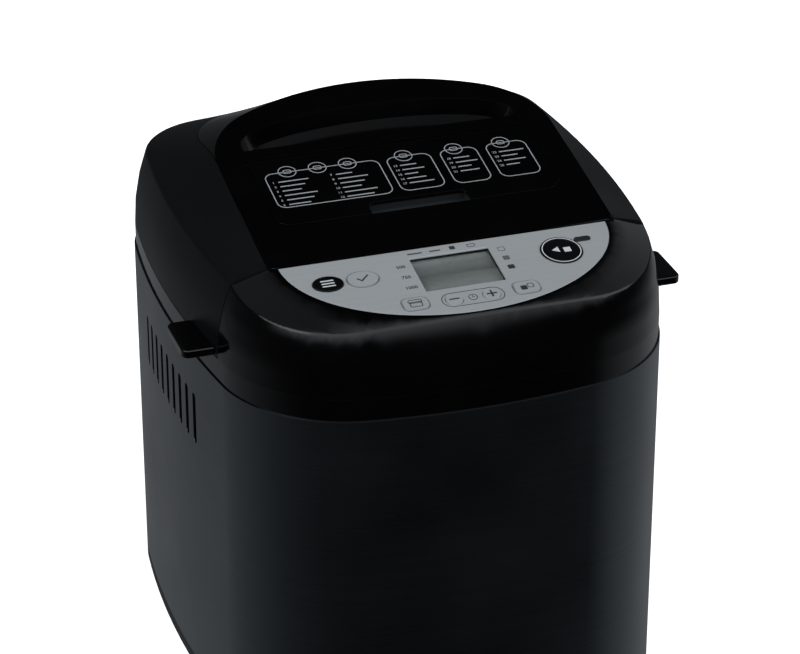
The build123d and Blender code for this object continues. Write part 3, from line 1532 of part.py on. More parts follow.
# Liner that closes the lid from below, its seal and screws
liner_mid = (liner_front + liner_rear) / 2
liner_width = 2 * liner_half
liner_length = liner_rear - liner_front
dome_length = liner_rear - liner_step_y
flange_limit = behind_split(split_gap / 2 + moulding_wall + lid_gap)
with BuildPart() as lid_liner:
    with BuildSketch(Plane.XY.offset(liner_z)):
        make_face(plan_outline(collar_inset + moulding_wall + lid_gap))
        with Locations((0, liner_back_edge + rear_corner)):
            Rectangle(4 * half_width, 2 * rear_corner, mode=Mode.SUBTRACT)
    extrude(amount=liner_sheet)
    add(flange_limit, mode=Mode.INTERSECT)
    for grow, mode in ((0.0, Mode.ADD), (liner_sheet, Mode.SUBTRACT)):
        with BuildSketch(Plane.XY.offset(liner_z)):
            with Locations((0, liner_mid)):
                RectangleRounded(liner_width - 2 * grow, liner_length - 2 * grow, liner_corner - grow)
        extrude(amount=liner_step_z - liner_z - grow, mode=mode)
        with BuildSketch(Plane.XY.offset(liner_z)):
            with Locations((0, (liner_step_y + liner_rear) / 2)):
                RectangleRounded(liner_width - 2 * grow, dome_length - 2 * grow, liner_corner - grow)
        extrude(amount=liner_top - liner_z - grow, mode=mode)
    with BuildSketch(Plane.XY.offset(liner_step_z)):
        with Locations((0, (door_axis_y + outlet_rear) / 2)):
            Rectangle(2 * (lug_at + lug_width), outlet_rear - door_axis_y + 2 * outlet_clearance)
    extrude(amount=-liner_sheet, mode=Mode.SUBTRACT)
    with BuildSketch(Plane.XY.offset(liner_z)):
        with Locations(*lid_bosses_at):
            Circle(screw_radius)
    extrude(amount=liner_sheet, mode=Mode.SUBTRACT)
lid_liner.part.label = "lid_liner"
export_step(lid_liner.part, "parts/lid_liner.step")

seal_inner_x = chamber_x_size + 2 * seal_outset
seal_inner_y = chamber_y_size + 2 * seal_outset
with BuildPart() as lid_seal:
    with BuildSketch(Plane.XY.offset(collar_top + seal_gap)):
        with Locations((0, chamber_y)):
            RectangleRounded(seal_inner_x + 2 * seal_width, seal_inner_y + 2 * seal_width, chamber_corner)
            RectangleRounded(seal_inner_x, seal_inner_y, chamber_corner - seal_width, mode=Mode.SUBTRACT)
    extrude(amount=liner_z - collar_top - seal_gap)
lid_seal.part.label = "lid_seal"
export_step(lid_seal.part, "parts/lid_seal.step")

with BuildPart() as lid_screws:
    with Locations(*[Location((x, y, liner_z), (180, 0, 0)) for x, y in lid_bosses_at]):
        add(screw)
lid_screws.part.label = "lid_screws"
export_step(lid_screws.part, "parts/lid_screws.step")

# Lifting tabs at the lid's lower edge
tab_y = (tab_front + tab_rear) / 2
for side, name in ((-1, "lid_tab_left"), (1, "lid_tab_right")):
    with BuildPart() as lid_tab:
        with BuildSketch(Plane.XY.offset(tab_bottom)):
            with Locations((side * (tab_outer + widest_y) / 2, tab_y)):
                RectangleRounded(tab_outer - widest_y, tab_rear - tab_front, tab_corner)
        extrude(amount=tab_top - tab_bottom)
        add(lid_form(), mode=Mode.SUBTRACT)
    lid_tab.part.label = name
    export_step(lid_tab.part, f"parts/{name}.step")
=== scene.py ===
"""Looks of the bread machine: soft edges, finishes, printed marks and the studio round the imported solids."""

import json
import logging
import math
from dataclasses import dataclass, field
from enum import Enum

import bmesh
import bpy
from mathutils import Matrix, Vector

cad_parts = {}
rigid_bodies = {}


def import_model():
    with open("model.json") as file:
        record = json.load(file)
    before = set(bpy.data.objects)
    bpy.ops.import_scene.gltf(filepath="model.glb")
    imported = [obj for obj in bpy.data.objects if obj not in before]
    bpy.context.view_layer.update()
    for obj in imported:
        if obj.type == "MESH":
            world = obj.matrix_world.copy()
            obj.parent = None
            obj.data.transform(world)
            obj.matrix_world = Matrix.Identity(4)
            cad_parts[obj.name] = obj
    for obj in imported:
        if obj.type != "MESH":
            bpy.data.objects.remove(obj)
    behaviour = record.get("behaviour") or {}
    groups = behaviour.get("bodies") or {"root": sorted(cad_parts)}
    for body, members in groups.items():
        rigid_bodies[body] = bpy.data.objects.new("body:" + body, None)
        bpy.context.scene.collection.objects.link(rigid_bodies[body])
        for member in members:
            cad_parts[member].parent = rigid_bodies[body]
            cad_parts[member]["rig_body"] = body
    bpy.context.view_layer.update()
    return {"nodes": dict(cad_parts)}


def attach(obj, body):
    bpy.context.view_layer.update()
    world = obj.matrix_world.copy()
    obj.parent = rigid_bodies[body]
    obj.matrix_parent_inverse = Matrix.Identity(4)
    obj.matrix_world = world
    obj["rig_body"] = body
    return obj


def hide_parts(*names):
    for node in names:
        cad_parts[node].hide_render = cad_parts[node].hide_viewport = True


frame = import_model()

LOG = logging.getLogger("bread_machine")
MM = 0.001

# Clean-up of copied solids: merged distance, flat angle and sliver size
MERGE_MM = 0.003
FLAT_DEG = 0.05
SLIVER_MM = 0.001

# Edges above the first angle are rounded, and edges still above the second are shaded sharp
CREASE_DEG = 28.0
SHARP_DEG = 35.0

# Parts of the noise's range that carry a finish's two colours, its flecks, and its change of gloss
COLOUR_RANGE = (0.35, 0.65)
FLECK_RANGE = (0.62, 0.70)
GLOSS_RANGE = (0.3, 0.7)
RELIEF_STRENGTH = 0.6

# Height of a digit as a share of the font's size, and the distance at which its outline is merged
DIGIT_SHARE = 0.7
DIGIT_MERGE_MM = 0.001

# Sloping plane of the fascia and the lid's top: its front edge, and its rise per millimetre of run
SLOPE_Y = -76.9
SLOPE_Z = 272.1
SLOPE = math.atan(0.19)


def linear(code: str) -> tuple[float, float, float, float]:
    """Turns an sRGB hex code into a linear colour.

    Args:
        code: six hex digits after a hash.

    Returns:
        Red, green, blue and alpha, linear.
    """
    parts = [int(code[i:i + 2], 16) / 255 for i in (1, 3, 5)]
    red, green, blue = (p / 12.92 if p <= 0.04045 else ((p + 0.055) / 1.055) ** 2.4 for p in parts)
    return red, green, blue, 1.0


def add_node(tree: bpy.types.NodeTree, kind: str, settings: dict | None = None, links: dict | None = None):
    """Adds a node, sets its properties, and sets or links its inputs.

    Args:
        tree: the tree that gets the node.
        kind: the node's type name.
        settings: property names and their values.
        links: input names or numbers, each with a value or with the output socket to link.

    Returns:
        The new node.
    """
    node = tree.nodes.new(kind)
    for name, value in (settings or {}).items():
        setattr(node, name, value)
    for name, value in (links or {}).items():
        if isinstance(value, bpy.types.NodeSocket):
            tree.links.new(value, node.inputs[name])
        else:
            node.inputs[name].default_value = value
    return node


class Grain(Enum):
    """How a surface was made, which decides the way its pattern runs."""

    SMOOTH = "smooth"
    SPARK = "spark"
    ALONG_X = "along_x"
    ROUND = "round"
    CAST = "cast"
    FLECK = "fleck"


@dataclass(frozen=True)
class Finish:
    """One real material with its colour, gloss and the size of its pattern."""

    name: str
    colour: str
    shade: str
    roughness: float
    grain: Grain = Grain.SMOOTH
    grain_mm: float = 1.0
    run_mm: float = 1.0
    uneven: float = 0.05
    bump_mm: float = 0.0
    metallic: float = 0.0
    ior: float = 1.5
    clear: float = 0.0
    specular: float = 0.5
    haze_mm: float = 71.43

    def scales(self) -> tuple[float, float, float]:
        """Works out how closely the pattern repeats.

        Returns:
            Repeats per metre along X, Y and Z.
        """
        fine = 1 / (self.grain_mm * MM)
        run = 1 / (self.run_mm * MM)
        if self.grain is Grain.ALONG_X:
            return run, fine, fine
        if self.grain is Grain.ROUND:
            return run, run, fine
        return fine, fine, fine

    def material(self) -> bpy.types.Material:
        """Makes the finish as a material, once.

        Returns:
            The material, new or made before.
        """
        known = bpy.data.materials.get(self.name)
        if known:
            return known
        made = bpy.data.materials.new(self.name)
        made.use_nodes = True
        tree = made.node_tree
        tree.nodes.clear()
        place = add_node(tree, "ShaderNodeTexCoord")
        spot = place.outputs["Object"]
        fitted = add_node(tree, "ShaderNodeMapping", None, {"Vector": spot, "Scale": self.scales()})
        noise = add_node(
            tree,
            "ShaderNodeTexNoise",
            None,
            {"Vector": fitted.outputs["Vector"], "Scale": 1.0, "Detail": 3.0, "Roughness": 0.6},
        )
        haze = 1 / (self.haze_mm * MM)
        wide = add_node(tree, "ShaderNodeTexNoise", None, {"Vector": spot, "Scale": haze, "Detail": 2.0})
        low, high = FLECK_RANGE if self.grain is Grain.FLECK else COLOUR_RANGE
        share = add_node(
            tree,
            "ShaderNodeMapRange",
            None,
            {"Value": noise.outputs["Fac"], "From Min": low, "From Max": high},
        )
        tint = add_node(
            tree,
            "ShaderNodeMix",
            {"data_type": "RGBA"},
            {0: share.outputs["Result"], 6: linear(self.colour), 7: linear(self.shade)},
        )
        gloss = add_node(
            tree,
            "ShaderNodeMapRange",
            None,
            {
                "Value": wide.outputs["Fac"],
                "From Min": GLOSS_RANGE[0],
                "From Max": GLOSS_RANGE[1],
                "To Min": max(self.roughness - self.uneven, 0.01),
                "To Max": self.roughness + self.uneven,
            },
        )
        inputs = {
            "Base Color": tint.outputs[2],
            "Roughness": gloss.outputs["Result"],
            "Metallic": self.metallic,
            "IOR": self.ior,
            "Transmission Weight": self.clear,
            "Specular IOR Level": self.specular,
        }
        if self.bump_mm:
            relief = add_node(
                tree,
                "ShaderNodeBump",
                None,
                {"Height": noise.outputs["Fac"], "Strength": RELIEF_STRENGTH, "Distance": self.bump_mm * MM},
            )
            inputs["Normal"] = relief.outputs["Normal"]
        shader = add_node(tree, "ShaderNodeBsdfPrincipled", None, inputs)
        add_node(tree, "ShaderNodeOutputMaterial", None, {"Surface": shader.outputs["BSDF"]})
        return made


# Real brush lines and mould grain are too fine to show in the render, so both are drawn coarser below

# Dark lacquer over steel brushed round the casing: long fine lines that catch light in level bands
BRUSHED_PAINT = Finish(
    "lacquered_brushed_steel", "#585e63", "#62686d", 0.3, Grain.ROUND, 0.35, 110.0, 0.03, 0.004, 1.0
)
# Satin ABS from a spark-eroded mould: an even fine grain that spreads highlights
SATIN_ABS = Finish(
    "satin_black_abs", "#0b0c0e", "#0e1012", 0.40, Grain.SPARK, 0.7, 1.0, 0.03, 0.006, specular=0.2
)
# High-gloss ABS from a polished mould: almost a mirror, with faint handling haze
GLOSS_ABS = Finish("polished_black_abs", "#020203", "#040405", 0.13, Grain.SMOOTH, 30.0, 1.0, 0.02)
# Grained ABS inside the finger well, which spreads light; its grey colour is painted light, so the well reads
# paler than the gloss round it
WELL_ABS_PAINTED_LIGHT = Finish("grained_abs_painted_light", "#24282b", "#2c3033", 0.5, Grain.SPARK, 0.8, 1.0, 0.04, 0.02)
# Plain ABS under the machine, coarser mould grain
BASE_ABS = Finish("textured_black_abs", "#17181a", "#1f2123", 0.55, Grain.SPARK, 1.1, 1.0, 0.05, 0.04)
# Moulded rubber: dull, with a dusty bloom
RUBBER = Finish("moulded_rubber", "#151515", "#1f1f20", 0.8, Grain.SPARK, 0.9, 1.0, 0.06, 0.03)
# Anodised aluminium brushed along the fascia, lacquered: soft lines that run left to right
FASCIA_ALUMINIUM = Finish(
    "brushed_anodised_aluminium", "#bec1c3", "#c6c9cb", 0.40, Grain.ALONG_X, 0.4, 45.0, 0.03, 0.004, 0.3
)
# Clear acrylic over the display: sharp faint reflections over the grey panel
DISPLAY_GLASS = Finish(
    "display_window_acrylic", "#eef0ee", "#f2f3f1", 0.04, Grain.SMOOTH, 25.0, clear=1.0, ior=1.49
)
# Unlit liquid crystal with its diffuser: flat grey with a faint mottle
DISPLAY_PANEL = Finish("liquid_crystal_panel", "#c9cecd", "#d2d6d5", 0.45, Grain.SPARK, 2.5, uneven=0.03)
# Smoked acrylic over the lamp: almost black, with a clean highlight
SMOKED_LENS = Finish("smoked_acrylic_lens", "#2a2b2d", "#323335", 0.12, Grain.SMOOTH, 8.0)
# Black buttons, finely polished: a tight highlight round the edge
BUTTON_BLACK = Finish("gloss_black_button", "#0a0b0c", "#0e0f10", 0.22, Grain.SPARK, 1.5, bump_mm=0.004)
# Buttons sprayed silver to match the fascia: the same tone without its brush lines
BUTTON_SILVER = Finish(
    "silver_painted_button", "#bfc2c4", "#c7cacc", 0.4, Grain.SPARK, 0.8, bump_mm=0.004, metallic=0.3
)
# Green solder lacquer over copper tracks: cloudy light and dark patches
CIRCUIT_BOARD = Finish("lacquered_circuit_board", "#1c4a2b", "#235a34", 0.4, Grain.CAST, 3.0)
# Glass-filled nylon: dark, slightly rough
DARK_NYLON = Finish("moulded_nylon", "#1d1e21", "#27282b", 0.5, Grain.SPARK, 1.0, bump_mm=0.02)
# Zinc-plated sheet: broad soft blotches of light and dark metal
SHEET_STEEL = Finish(
    "zinc_plated_sheet_steel", "#9a9c9e", "#b0b2b4", 0.34, Grain.CAST, 9.0, uneven=0.08, metallic=1.0
)
# Pressed aluminium with the rolling lines of its sheet
LINER_ALUMINIUM = Finish(
    "pressed_aluminium_liner", "#8f9193", "#a3a5a7", 0.32, Grain.ALONG_X, 0.6, 60.0, 0.06, 0.01, 1.0
)
# Heater tube stained by heat: brown and straw patches on dull steel
HEATER_TUBE = Finish("heat_stained_steel_tube", "#4c4743", "#6a625a", 0.45, Grain.CAST, 6.0, metallic=1.0)
# Fired ceramic: chalky and pale
CERAMIC = Finish("unglazed_ceramic", "#d8d3c7", "#e3dfd5", 0.7, Grain.CAST, 1.2, bump_mm=0.03)
# Steel turned on a lathe: fine rings that stretch highlights
TURNED_STEEL = Finish(
    "turned_bright_steel", "#a6a8aa", "#babcbe", 0.28, Grain.ROUND, 0.5, 40.0, 0.05, 0.01, 1.0
)
# Bronze pressed from powder: brown, with a fine open grain
SINTERED_BRONZE = Finish(
    "sintered_bronze", "#8a6a3c", "#9c7a48", 0.45, Grain.CAST, 0.8, bump_mm=0.02, metallic=1.0
)
# Non-stick coating: dark grey with pale flecks
PAN_COATING = Finish("non_stick_coating", "#26272a", "#55575b", 0.42, Grain.FLECK, 1.6, bump_mm=0.006)
# Die-cast alloy: dull silver with a coarse skin
CAST_ALLOY = Finish(
    "die_cast_alloy", "#9a9b9d", "#8a8b8d", 0.48, Grain.CAST, 1.5, bump_mm=0.03, metallic=1.0
)
# Plated screws: bright small highlights
SCREW_STEEL = Finish("zinc_plated_screws", "#8e9092", "#a0a2a4", 0.3, Grain.ROUND, 0.4, 5.0, metallic=1.0)
# Soft silicone: mid grey and dull
SILICONE = Finish("grey_silicone", "#5a5b5d", "#646567", 0.6, Grain.SPARK, 1.2, bump_mm=0.02)
# Pale ink of the flap's print, thin enough for the black to show a little
WHITE_INK = Finish("pale_screen_print", "#a4a7aa", "#b0b3b6", 0.55, Grain.SPARK, 0.5)
# White ink of the signs on black buttons
BRIGHT_INK = Finish("white_screen_print", "#d5d7d8", "#e0e2e3", 0.5, Grain.SPARK, 0.5)
# Near-black ink of the marks on the fascia
DARK_INK = Finish("dark_screen_print", "#2c2e31", "#36383b", 0.55, Grain.SPARK, 0.5)
# Mid-grey ink of the outlines round the buttons
GREY_INK = Finish("grey_screen_print", "#5d6064", "#686b6f", 0.5, Grain.SPARK, 0.5)


def slope_matrix(rise: float = 0.0) -> Matrix:
    """Matrix that lays flat millimetres on the sloping plane, in metres.

    Args:
        rise: height above the plane in millimetres.

    Returns:
        The matrix.
    """
    level = Vector((0, SLOPE_Y * MM, SLOPE_Z * MM))
    turn = Matrix.Rotation(SLOPE, 4, "X")
    return Matrix.Translation(level) @ turn @ Matrix.Translation((0, 0, rise * MM)) @ Matrix.Scale(MM, 4)


def finish_piece(mesh: bpy.types.Mesh, name: str, finish: Finish, body: str) -> bpy.types.Object:
    """Links a mesh as a piece, dresses it and lets it ride on a body.

    Args:
        mesh: the piece's mesh, in the row's frame.
        name: the piece's name.
        finish: its finish.
        body: the body that carries it.

    Returns:
        The piece.
    """
    piece = bpy.data.objects.new(name, mesh)
    bpy.context.scene.collection.objects.link(piece)
    mesh.materials.clear()
    mesh.materials.append(finish.material())
    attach(piece, body)
    LOG.info("%s: %d faces, %s, rides on %s", name, len(mesh.polygons), finish.name, body)
    return piece


def dress(node: str, finish: Finish) -> None:
    """Gives a carried-over solid its finish.

    Args:
        node: the solid's node.
        finish: its finish.
    """
    slots = frame["nodes"][node].data.materials
    slots.clear()
    slots.append(finish.material())
    LOG.info("%s: solid, %s", node, finish.name)


def soften(node: str, finish: Finish, width_mm: float, segments: int = 2) -> bpy.types.Object:
    """Makes a copy of a solid with rounded edges and smooth faces, which stands for it.

    Args:
        node: the solid's node.
        finish: the copy's finish.
        width_mm: width of the rounding, or nothing to leave edges sharp.
        segments: steps across the rounding.

    Returns:
        The copy.
    """
    shape = bmesh.new()
    shape.from_mesh(frame["nodes"][node].data)
    bmesh.ops.remove_doubles(shape, verts=shape.verts[:], dist=MERGE_MM * MM)
    bmesh.ops.dissolve_limit(
        shape, angle_limit=math.radians(FLAT_DEG), verts=shape.verts[:], edges=shape.edges[:]
    )
    if width_mm:
        least = math.radians(CREASE_DEG)
        sharp = [e for e in shape.edges if e.is_manifold and e.calc_face_angle(0.0) > least]
        bmesh.ops.bevel(
            shape,
            geom=sharp,
            offset=width_mm * MM,
            offset_type="OFFSET",
            segments=segments,
            profile=0.5,
            affect="EDGES",
            clamp_overlap=True,
            material=-1,
            loop_slide=True,
        )
        bmesh.ops.dissolve_degenerate(shape, dist=SLIVER_MM * MM, edges=shape.edges[:])
    bmesh.ops.triangulate(shape, faces=[f for f in shape.faces if len(f.verts) > 4])
    mesh = bpy.data.meshes.new(node + "_finished")
    shape.to_mesh(mesh)
    shape.free()
    mesh.shade_smooth()
    mesh.set_sharp_from_angle(angle=math.radians(SHARP_DEG))
    body = frame["nodes"][node]["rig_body"]
    piece = finish_piece(mesh, node + "_finished", finish, body)
    even = piece.modifiers.new("even_normals", "WEIGHTED_NORMAL")
    even.keep_sharp = True
    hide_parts(node)
    return piece


@dataclass
class PrintedSheet:
    """Thin printed marks laid on the sloping plane, in millimetres across and up the plane."""

    name: str
    body: str
    finish: Finish
    rise: float
    thickness: float = 0.06
    weight: float = 0.02
    sheet: bmesh.types.BMesh = field(default_factory=bmesh.new)

    def _join(self, shape: bmesh.types.BMesh, x: float, v: float, turn: float = 0.0) -> None:
        """Moves a flat shape to its place, adds it to the sheet and frees it.

        Args:
            shape: the flat shape, round the origin.
            x: middle across.
            v: middle up the plane.
            turn: angle in degrees.
        """
        move = Matrix.Translation((x, v, 0)) @ Matrix.Rotation(math.radians(turn), 4, "Z")
        bmesh.ops.transform(shape, matrix=move, verts=shape.verts[:])
        part = bpy.data.meshes.new("mark")
        shape.to_mesh(part)
        shape.free()
        self.sheet.from_mesh(part)
        bpy.data.meshes.remove(part)

    def _plate(self, width: float, height: float, corner: float, steps: int) -> bmesh.types.BMesh:
        """Makes a flat rectangle round the origin.

        Args:
            width: size across.
            height: size up.
            corner: corner radius, or nothing for square corners.
            steps: straight steps round each corner.

        Returns:
            The flat shape.
        """
        shape = bmesh.new()
        size = Matrix.Diagonal((width, height, 1, 1))
        bmesh.ops.create_grid(shape, x_segments=1, y_segments=1, size=0.5, matrix=size)
        if corner:
            bmesh.ops.bevel(
                shape,
                geom=shape.verts[:],
                offset=corner,
                offset_type="OFFSET",
                segments=steps,
                profile=0.5,
                affect="VERTICES",
                material=-1,
                clamp_overlap=True,
            )
        return shape

    def _hollow(self, shape: bmesh.types.BMesh, line: float) -> None:
        """Turns a flat face into a line round its edge.

        Args:
            shape: the flat shape.
            line: line width.
        """
        rim = bmesh.ops.inset_region(
            shape, faces=shape.faces[:], thickness=line, use_boundary=True, use_even_offset=True
        )["faces"]
        middle = [f for f in shape.faces if f not in rim]
        bmesh.ops.delete(shape, geom=middle, context="FACES")

    def frame(self, x: float, v: float, width: float, height: float, corner: float, line: float) -> None:
        """Draws a rounded rectangle's outline.

        Args:
            x: middle across.
            v: middle up the plane.
            width: size across.
            height: size up the plane.
            corner: corner radius.
            line: line width.
        """
        shape = self._plate(width, height, corner, 8)
        self._hollow(shape, line)
        self._join(shape, x, v)

    def pad(self, x: float, v: float, width: float, height: float, corner: float, turn: float = 0.0) -> None:
        """Draws a filled rounded rectangle.

        Args:
            x: middle across.
            v: middle up the plane.
            width: size across.
            height: size up the plane.
            corner: corner radius, or nothing for square corners.
            turn: angle in degrees.
        """
        self._join(self._plate(width, height, corner, 3), x, v, turn)

    def oval(self, x: float, v: float, across: float, up: float, line: float = 0.0, sides: int = 48) -> None:
        """Draws an oval, or a triangle where it has three sides.

        Args:
            x: middle across.
            v: middle up the plane.
            across: half size across.
            up: half size up the plane.
            line: line width, or nothing to fill it.
            sides: straight sides that make it up.
        """
        shape = bmesh.new()
        bmesh.ops.create_circle(
            shape, cap_ends=True, segments=sides, radius=1.0, matrix=Matrix.Diagonal((across, up, 1, 1))
        )
        if line:
            self._hollow(shape, line)
        self._join(shape, x, v, 90.0 if sides == 3 else 0.0)

    def number(self, digits: str, x: float, v: float, height: float) -> None:
        """Sets a plain number, centred.

        Args:
            digits: the number.
            x: middle across.
            v: middle up the plane.
            height: height of the digits.
        """
        text = bpy.data.curves.new("digits", "FONT")
        text.body = digits
        text.size = height / DIGIT_SHARE
        text.resolution_u = 3
        text.offset = self.weight * height
        text.align_x = "CENTER"
        text.align_y = "CENTER"
        holder = bpy.data.objects.new("digits", text)
        flat = bpy.data.meshes.new_from_object(holder)
        shape = bmesh.new()
        shape.from_mesh(flat)
        bmesh.ops.remove_doubles(shape, verts=shape.verts[:], dist=DIGIT_MERGE_MM)
        bpy.data.objects.remove(holder)
        bpy.data.curves.remove(text)
        bpy.data.meshes.remove(flat)
        self._join(shape, x, v)

    def lay(self) -> bpy.types.Object:
        """Thickens the marks, lays them on the plane and makes them a piece.

        Returns:
            The printed piece.
        """
        flat = self.sheet.faces[:]
        grown = bmesh.ops.extrude_face_region(self.sheet, geom=flat, use_keep_orig=True)["geom"]
        tops = [item for item in grown if isinstance(item, bmesh.types.BMVert)]
        bmesh.ops.translate(self.sheet, vec=(0, 0, self.thickness), verts=tops)
        bmesh.ops.recalc_face_normals(self.sheet, faces=self.sheet.faces[:])
        bmesh.ops.transform(self.sheet, matrix=slope_matrix(self.rise), verts=self.sheet.verts[:])
        mesh = bpy.data.meshes.new(self.name)
        self.sheet.to_mesh(mesh)
        self.sheet.free()
        return finish_piece(mesh, self.name, self.finish, self.body)


@dataclass
class Casing:
    """Lower body: wrapped steel, base, feet, cord inlet and the collar round the top."""

    edge: float = 0.3
    rim: float = 0.38
    collar_edge: float = 0.25

    def build(self) -> None:
        """Dresses the lower body."""
        soften("outer_casing", BRUSHED_PAINT, self.rim)
        soften("collar", GLOSS_ABS, self.collar_edge)
        soften("base_tray", BASE_ABS, self.edge)
        soften("rubber_feet", RUBBER, self.edge)
        soften("cord_gland", RUBBER, self.edge)
        dress("hinge_pins", TURNED_STEEL)
        dress("base_screws", SCREW_STEEL)
        dress("deck_screws", SCREW_STEEL)


@dataclass
class ControlPanel:
    """Housing at the front with the fascia, the display, seven buttons and their printed marks."""

    housing_edge: float = 0.5
    fascia_edge: float = 0.25
    window_edge: float = 0.15
    trim_edge: float = 0.3
    button_edge: float = 0.45
    button_rise: float = 0.6
    proud: float = 0.015
    display_v: float = -22.5
    upper_v: float = -19.6
    lower_v: float = -45.6
    pill_v: float = -46.8
    start: tuple[float, float] = (57.6, -20.2)
    silver: tuple[str, ...] = ("select_button", "loaf_button", "minus_button", "plus_button", "crust_button")

    def build(self) -> None:
        """Dresses the housing, fascia, display and buttons, and prints their marks."""
        soften("control_housing", GLOSS_ABS, self.housing_edge)
        soften("fascia_panel", FASCIA_ALUMINIUM, self.fascia_edge)
        soften("lcd_window", DISPLAY_GLASS, self.window_edge)
        dress("lcd_module", DISPLAY_PANEL)
        soften("indicator_lens", SMOKED_LENS, self.trim_edge)
        soften("start_button_ring", BUTTON_BLACK, self.trim_edge)
        for node in self.silver:
            soften(node, BUTTON_SILVER, self.button_edge)
        for node in ("menu_button", "start_stop_button"):
            soften(node, BUTTON_BLACK, self.button_edge)
        dress("control_board", CIRCUIT_BOARD)
        dress("key_switches", DARK_NYLON)
        self.print_fascia()
        self.print_buttons()

    def print_fascia(self) -> None:
        """Prints the outlines round the buttons and the marks round the display."""
        dark = PrintedSheet("fascia_marks_dark", "machine", DARK_INK, self.proud)
        for row, digits in enumerate(("500", "750", "1000")):
            dark.number(digits, -27.8, self.display_v + 8.0 - 8.8 * row, 2.3)
        for x, width in ((-17.3, 8.0), (-6.4, 6.0)):
            dark.pad(x, -5.0, width, 0.9, 0.2)
        dark.pad(3.1, -4.6, 3.0, 2.8, 0.5)
        dark.frame(13.3, -4.8, 4.4, 2.6, 0.8, 0.4)
        dark.frame(0.1, self.pill_v, 33.5, 11.4, 5.6, 0.4)
        dark.oval(0.0, self.pill_v, 2.4, 2.4, 0.4)
        dark.pad(0.4, self.pill_v + 0.1, 1.5, 0.35, 0.0)
        dark.pad(0.0, self.pill_v + 0.7, 0.35, 1.6, 0.0)
        dark.pad(27.6, self.display_v - 4.6, 3.6, 3.4, 0.6)
        dark.lay()
        grey = PrintedSheet("fascia_marks_grey", "machine", GREY_INK, self.proud)
        grey.frame(27.6, self.display_v + 11.0, 3.8, 3.6, 0.7, 0.4)
        grey.pad(27.6, self.display_v + 3.2, 3.6, 3.4, 0.6)
        grey.oval(-49.7, self.upper_v, 8.9, 6.9, 0.3)
        for x in (-30.2, 29.2):
            grey.frame(x, self.lower_v, 14.8, 10.8, 3.8, 0.3)
        grey.lay()
        ring = PrintedSheet("start_ring_inlay", "machine", BRIGHT_INK, 0.5 + self.proud)
        ring.oval(self.start[0], self.start[1], 10.35, 10.35, 0.55, 72)
        ring.lay()

    def print_buttons(self) -> None:
        """Puts a plain sign on each button."""
        rise = self.button_rise + self.proud
        menu = PrintedSheet("menu_sign", "menu_key", BRIGHT_INK, rise)
        for step in (-1, 0, 1):
            menu.pad(-68.2, self.upper_v + 2.2 * step, 7.0, 0.9, 0.3)
        menu.lay()
        select = PrintedSheet("select_sign", "select_key", DARK_INK, rise)
        select.pad(-51.6, self.upper_v - 0.8, 3.4, 0.8, 0.2, -45)
        select.pad(-48.6, self.upper_v + 0.3, 6.2, 0.8, 0.2, 45)
        select.lay()
        loaf = PrintedSheet("loaf_sign", "loaf_key", DARK_INK, rise)
        loaf.frame(-30.2, self.lower_v - 0.9, 6.6, 4.2, 0.9, 0.45)
        loaf.frame(-30.2, self.lower_v + 1.5, 7.6, 3.0, 1.45, 0.45)
        loaf.lay()
        minus = PrintedSheet("minus_sign", "minus_key", DARK_INK, rise)
        minus.pad(-10.0, self.pill_v, 5.4, 0.9, 0.2)
        minus.lay()
        plus = PrintedSheet("plus_sign", "plus_key", DARK_INK, rise)
        plus.pad(10.0, self.pill_v, 5.4, 1.0, 0.0)
        plus.pad(10.0, self.pill_v + 1.6, 1.0, 2.2, 0.0)
        plus.pad(10.0, self.pill_v - 1.6, 1.0, 2.2, 0.0)
        plus.lay()
        crust = PrintedSheet("crust_sign", "crust_key", DARK_INK, rise)
        crust.pad(27.6, self.lower_v - 0.6, 3.4, 3.4, 0.6)
        crust.frame(31.4, self.lower_v + 0.6, 3.4, 3.4, 0.6, 0.4)
        crust.lay()
        start = PrintedSheet("start_stop_sign", "start_stop_key", BRIGHT_INK, rise)
        start.oval(self.start[0] - 2.6, self.start[1] + 0.6, 2.6, 2.6, 0.0, 3)
        start.pad(self.start[0] + 3.0, self.start[1] - 0.4, 3.8, 3.8, 0.3)
        start.lay()


@dataclass
class Lid:
    """Lid shell, its gloss top panel, lining, seal and lifting tabs."""

    shell_edge: float = 0.6
    panel_edge: float = 0.45
    tab_edge: float = 0.8
    tab_steps: int = 3
    seal_edge: float = 0.6
    well_sink: float = 1.0
    well_reach: float = 50.0

    def grain_well(self, panel: bpy.types.Object) -> None:
        """Gives the finger well, sunk in the front of the panel, a grained finish whose grey colour is painted
        light.

        Args:
            panel: the finished top panel.
        """
        mesh = panel.data
        mesh.materials.append(WELL_ABS_PAINTED_LIGHT.material())
        flatten = slope_matrix().inverted()
        for face in mesh.polygons:
            spot = flatten @ face.center
            # Faces sunk below the panel's plane get the grained finish with its painted paler grey
            face.material_index = int(spot.z < -self.well_sink and spot.y < self.well_reach)

    def build(self) -> None:
        """Dresses the lid."""
        soften("lid_shell", SATIN_ABS, self.shell_edge)
        self.grain_well(soften("lid_top_panel", GLOSS_ABS, self.panel_edge))
        soften("lid_tab_left", GLOSS_ABS, self.tab_edge, self.tab_steps)
        soften("lid_tab_right", GLOSS_ABS, self.tab_edge, self.tab_steps)
        soften("lid_liner", LINER_ALUMINIUM, 0.0)
        soften("lid_seal", SILICONE, self.seal_edge)
        dress("lid_screws", SCREW_STEEL)


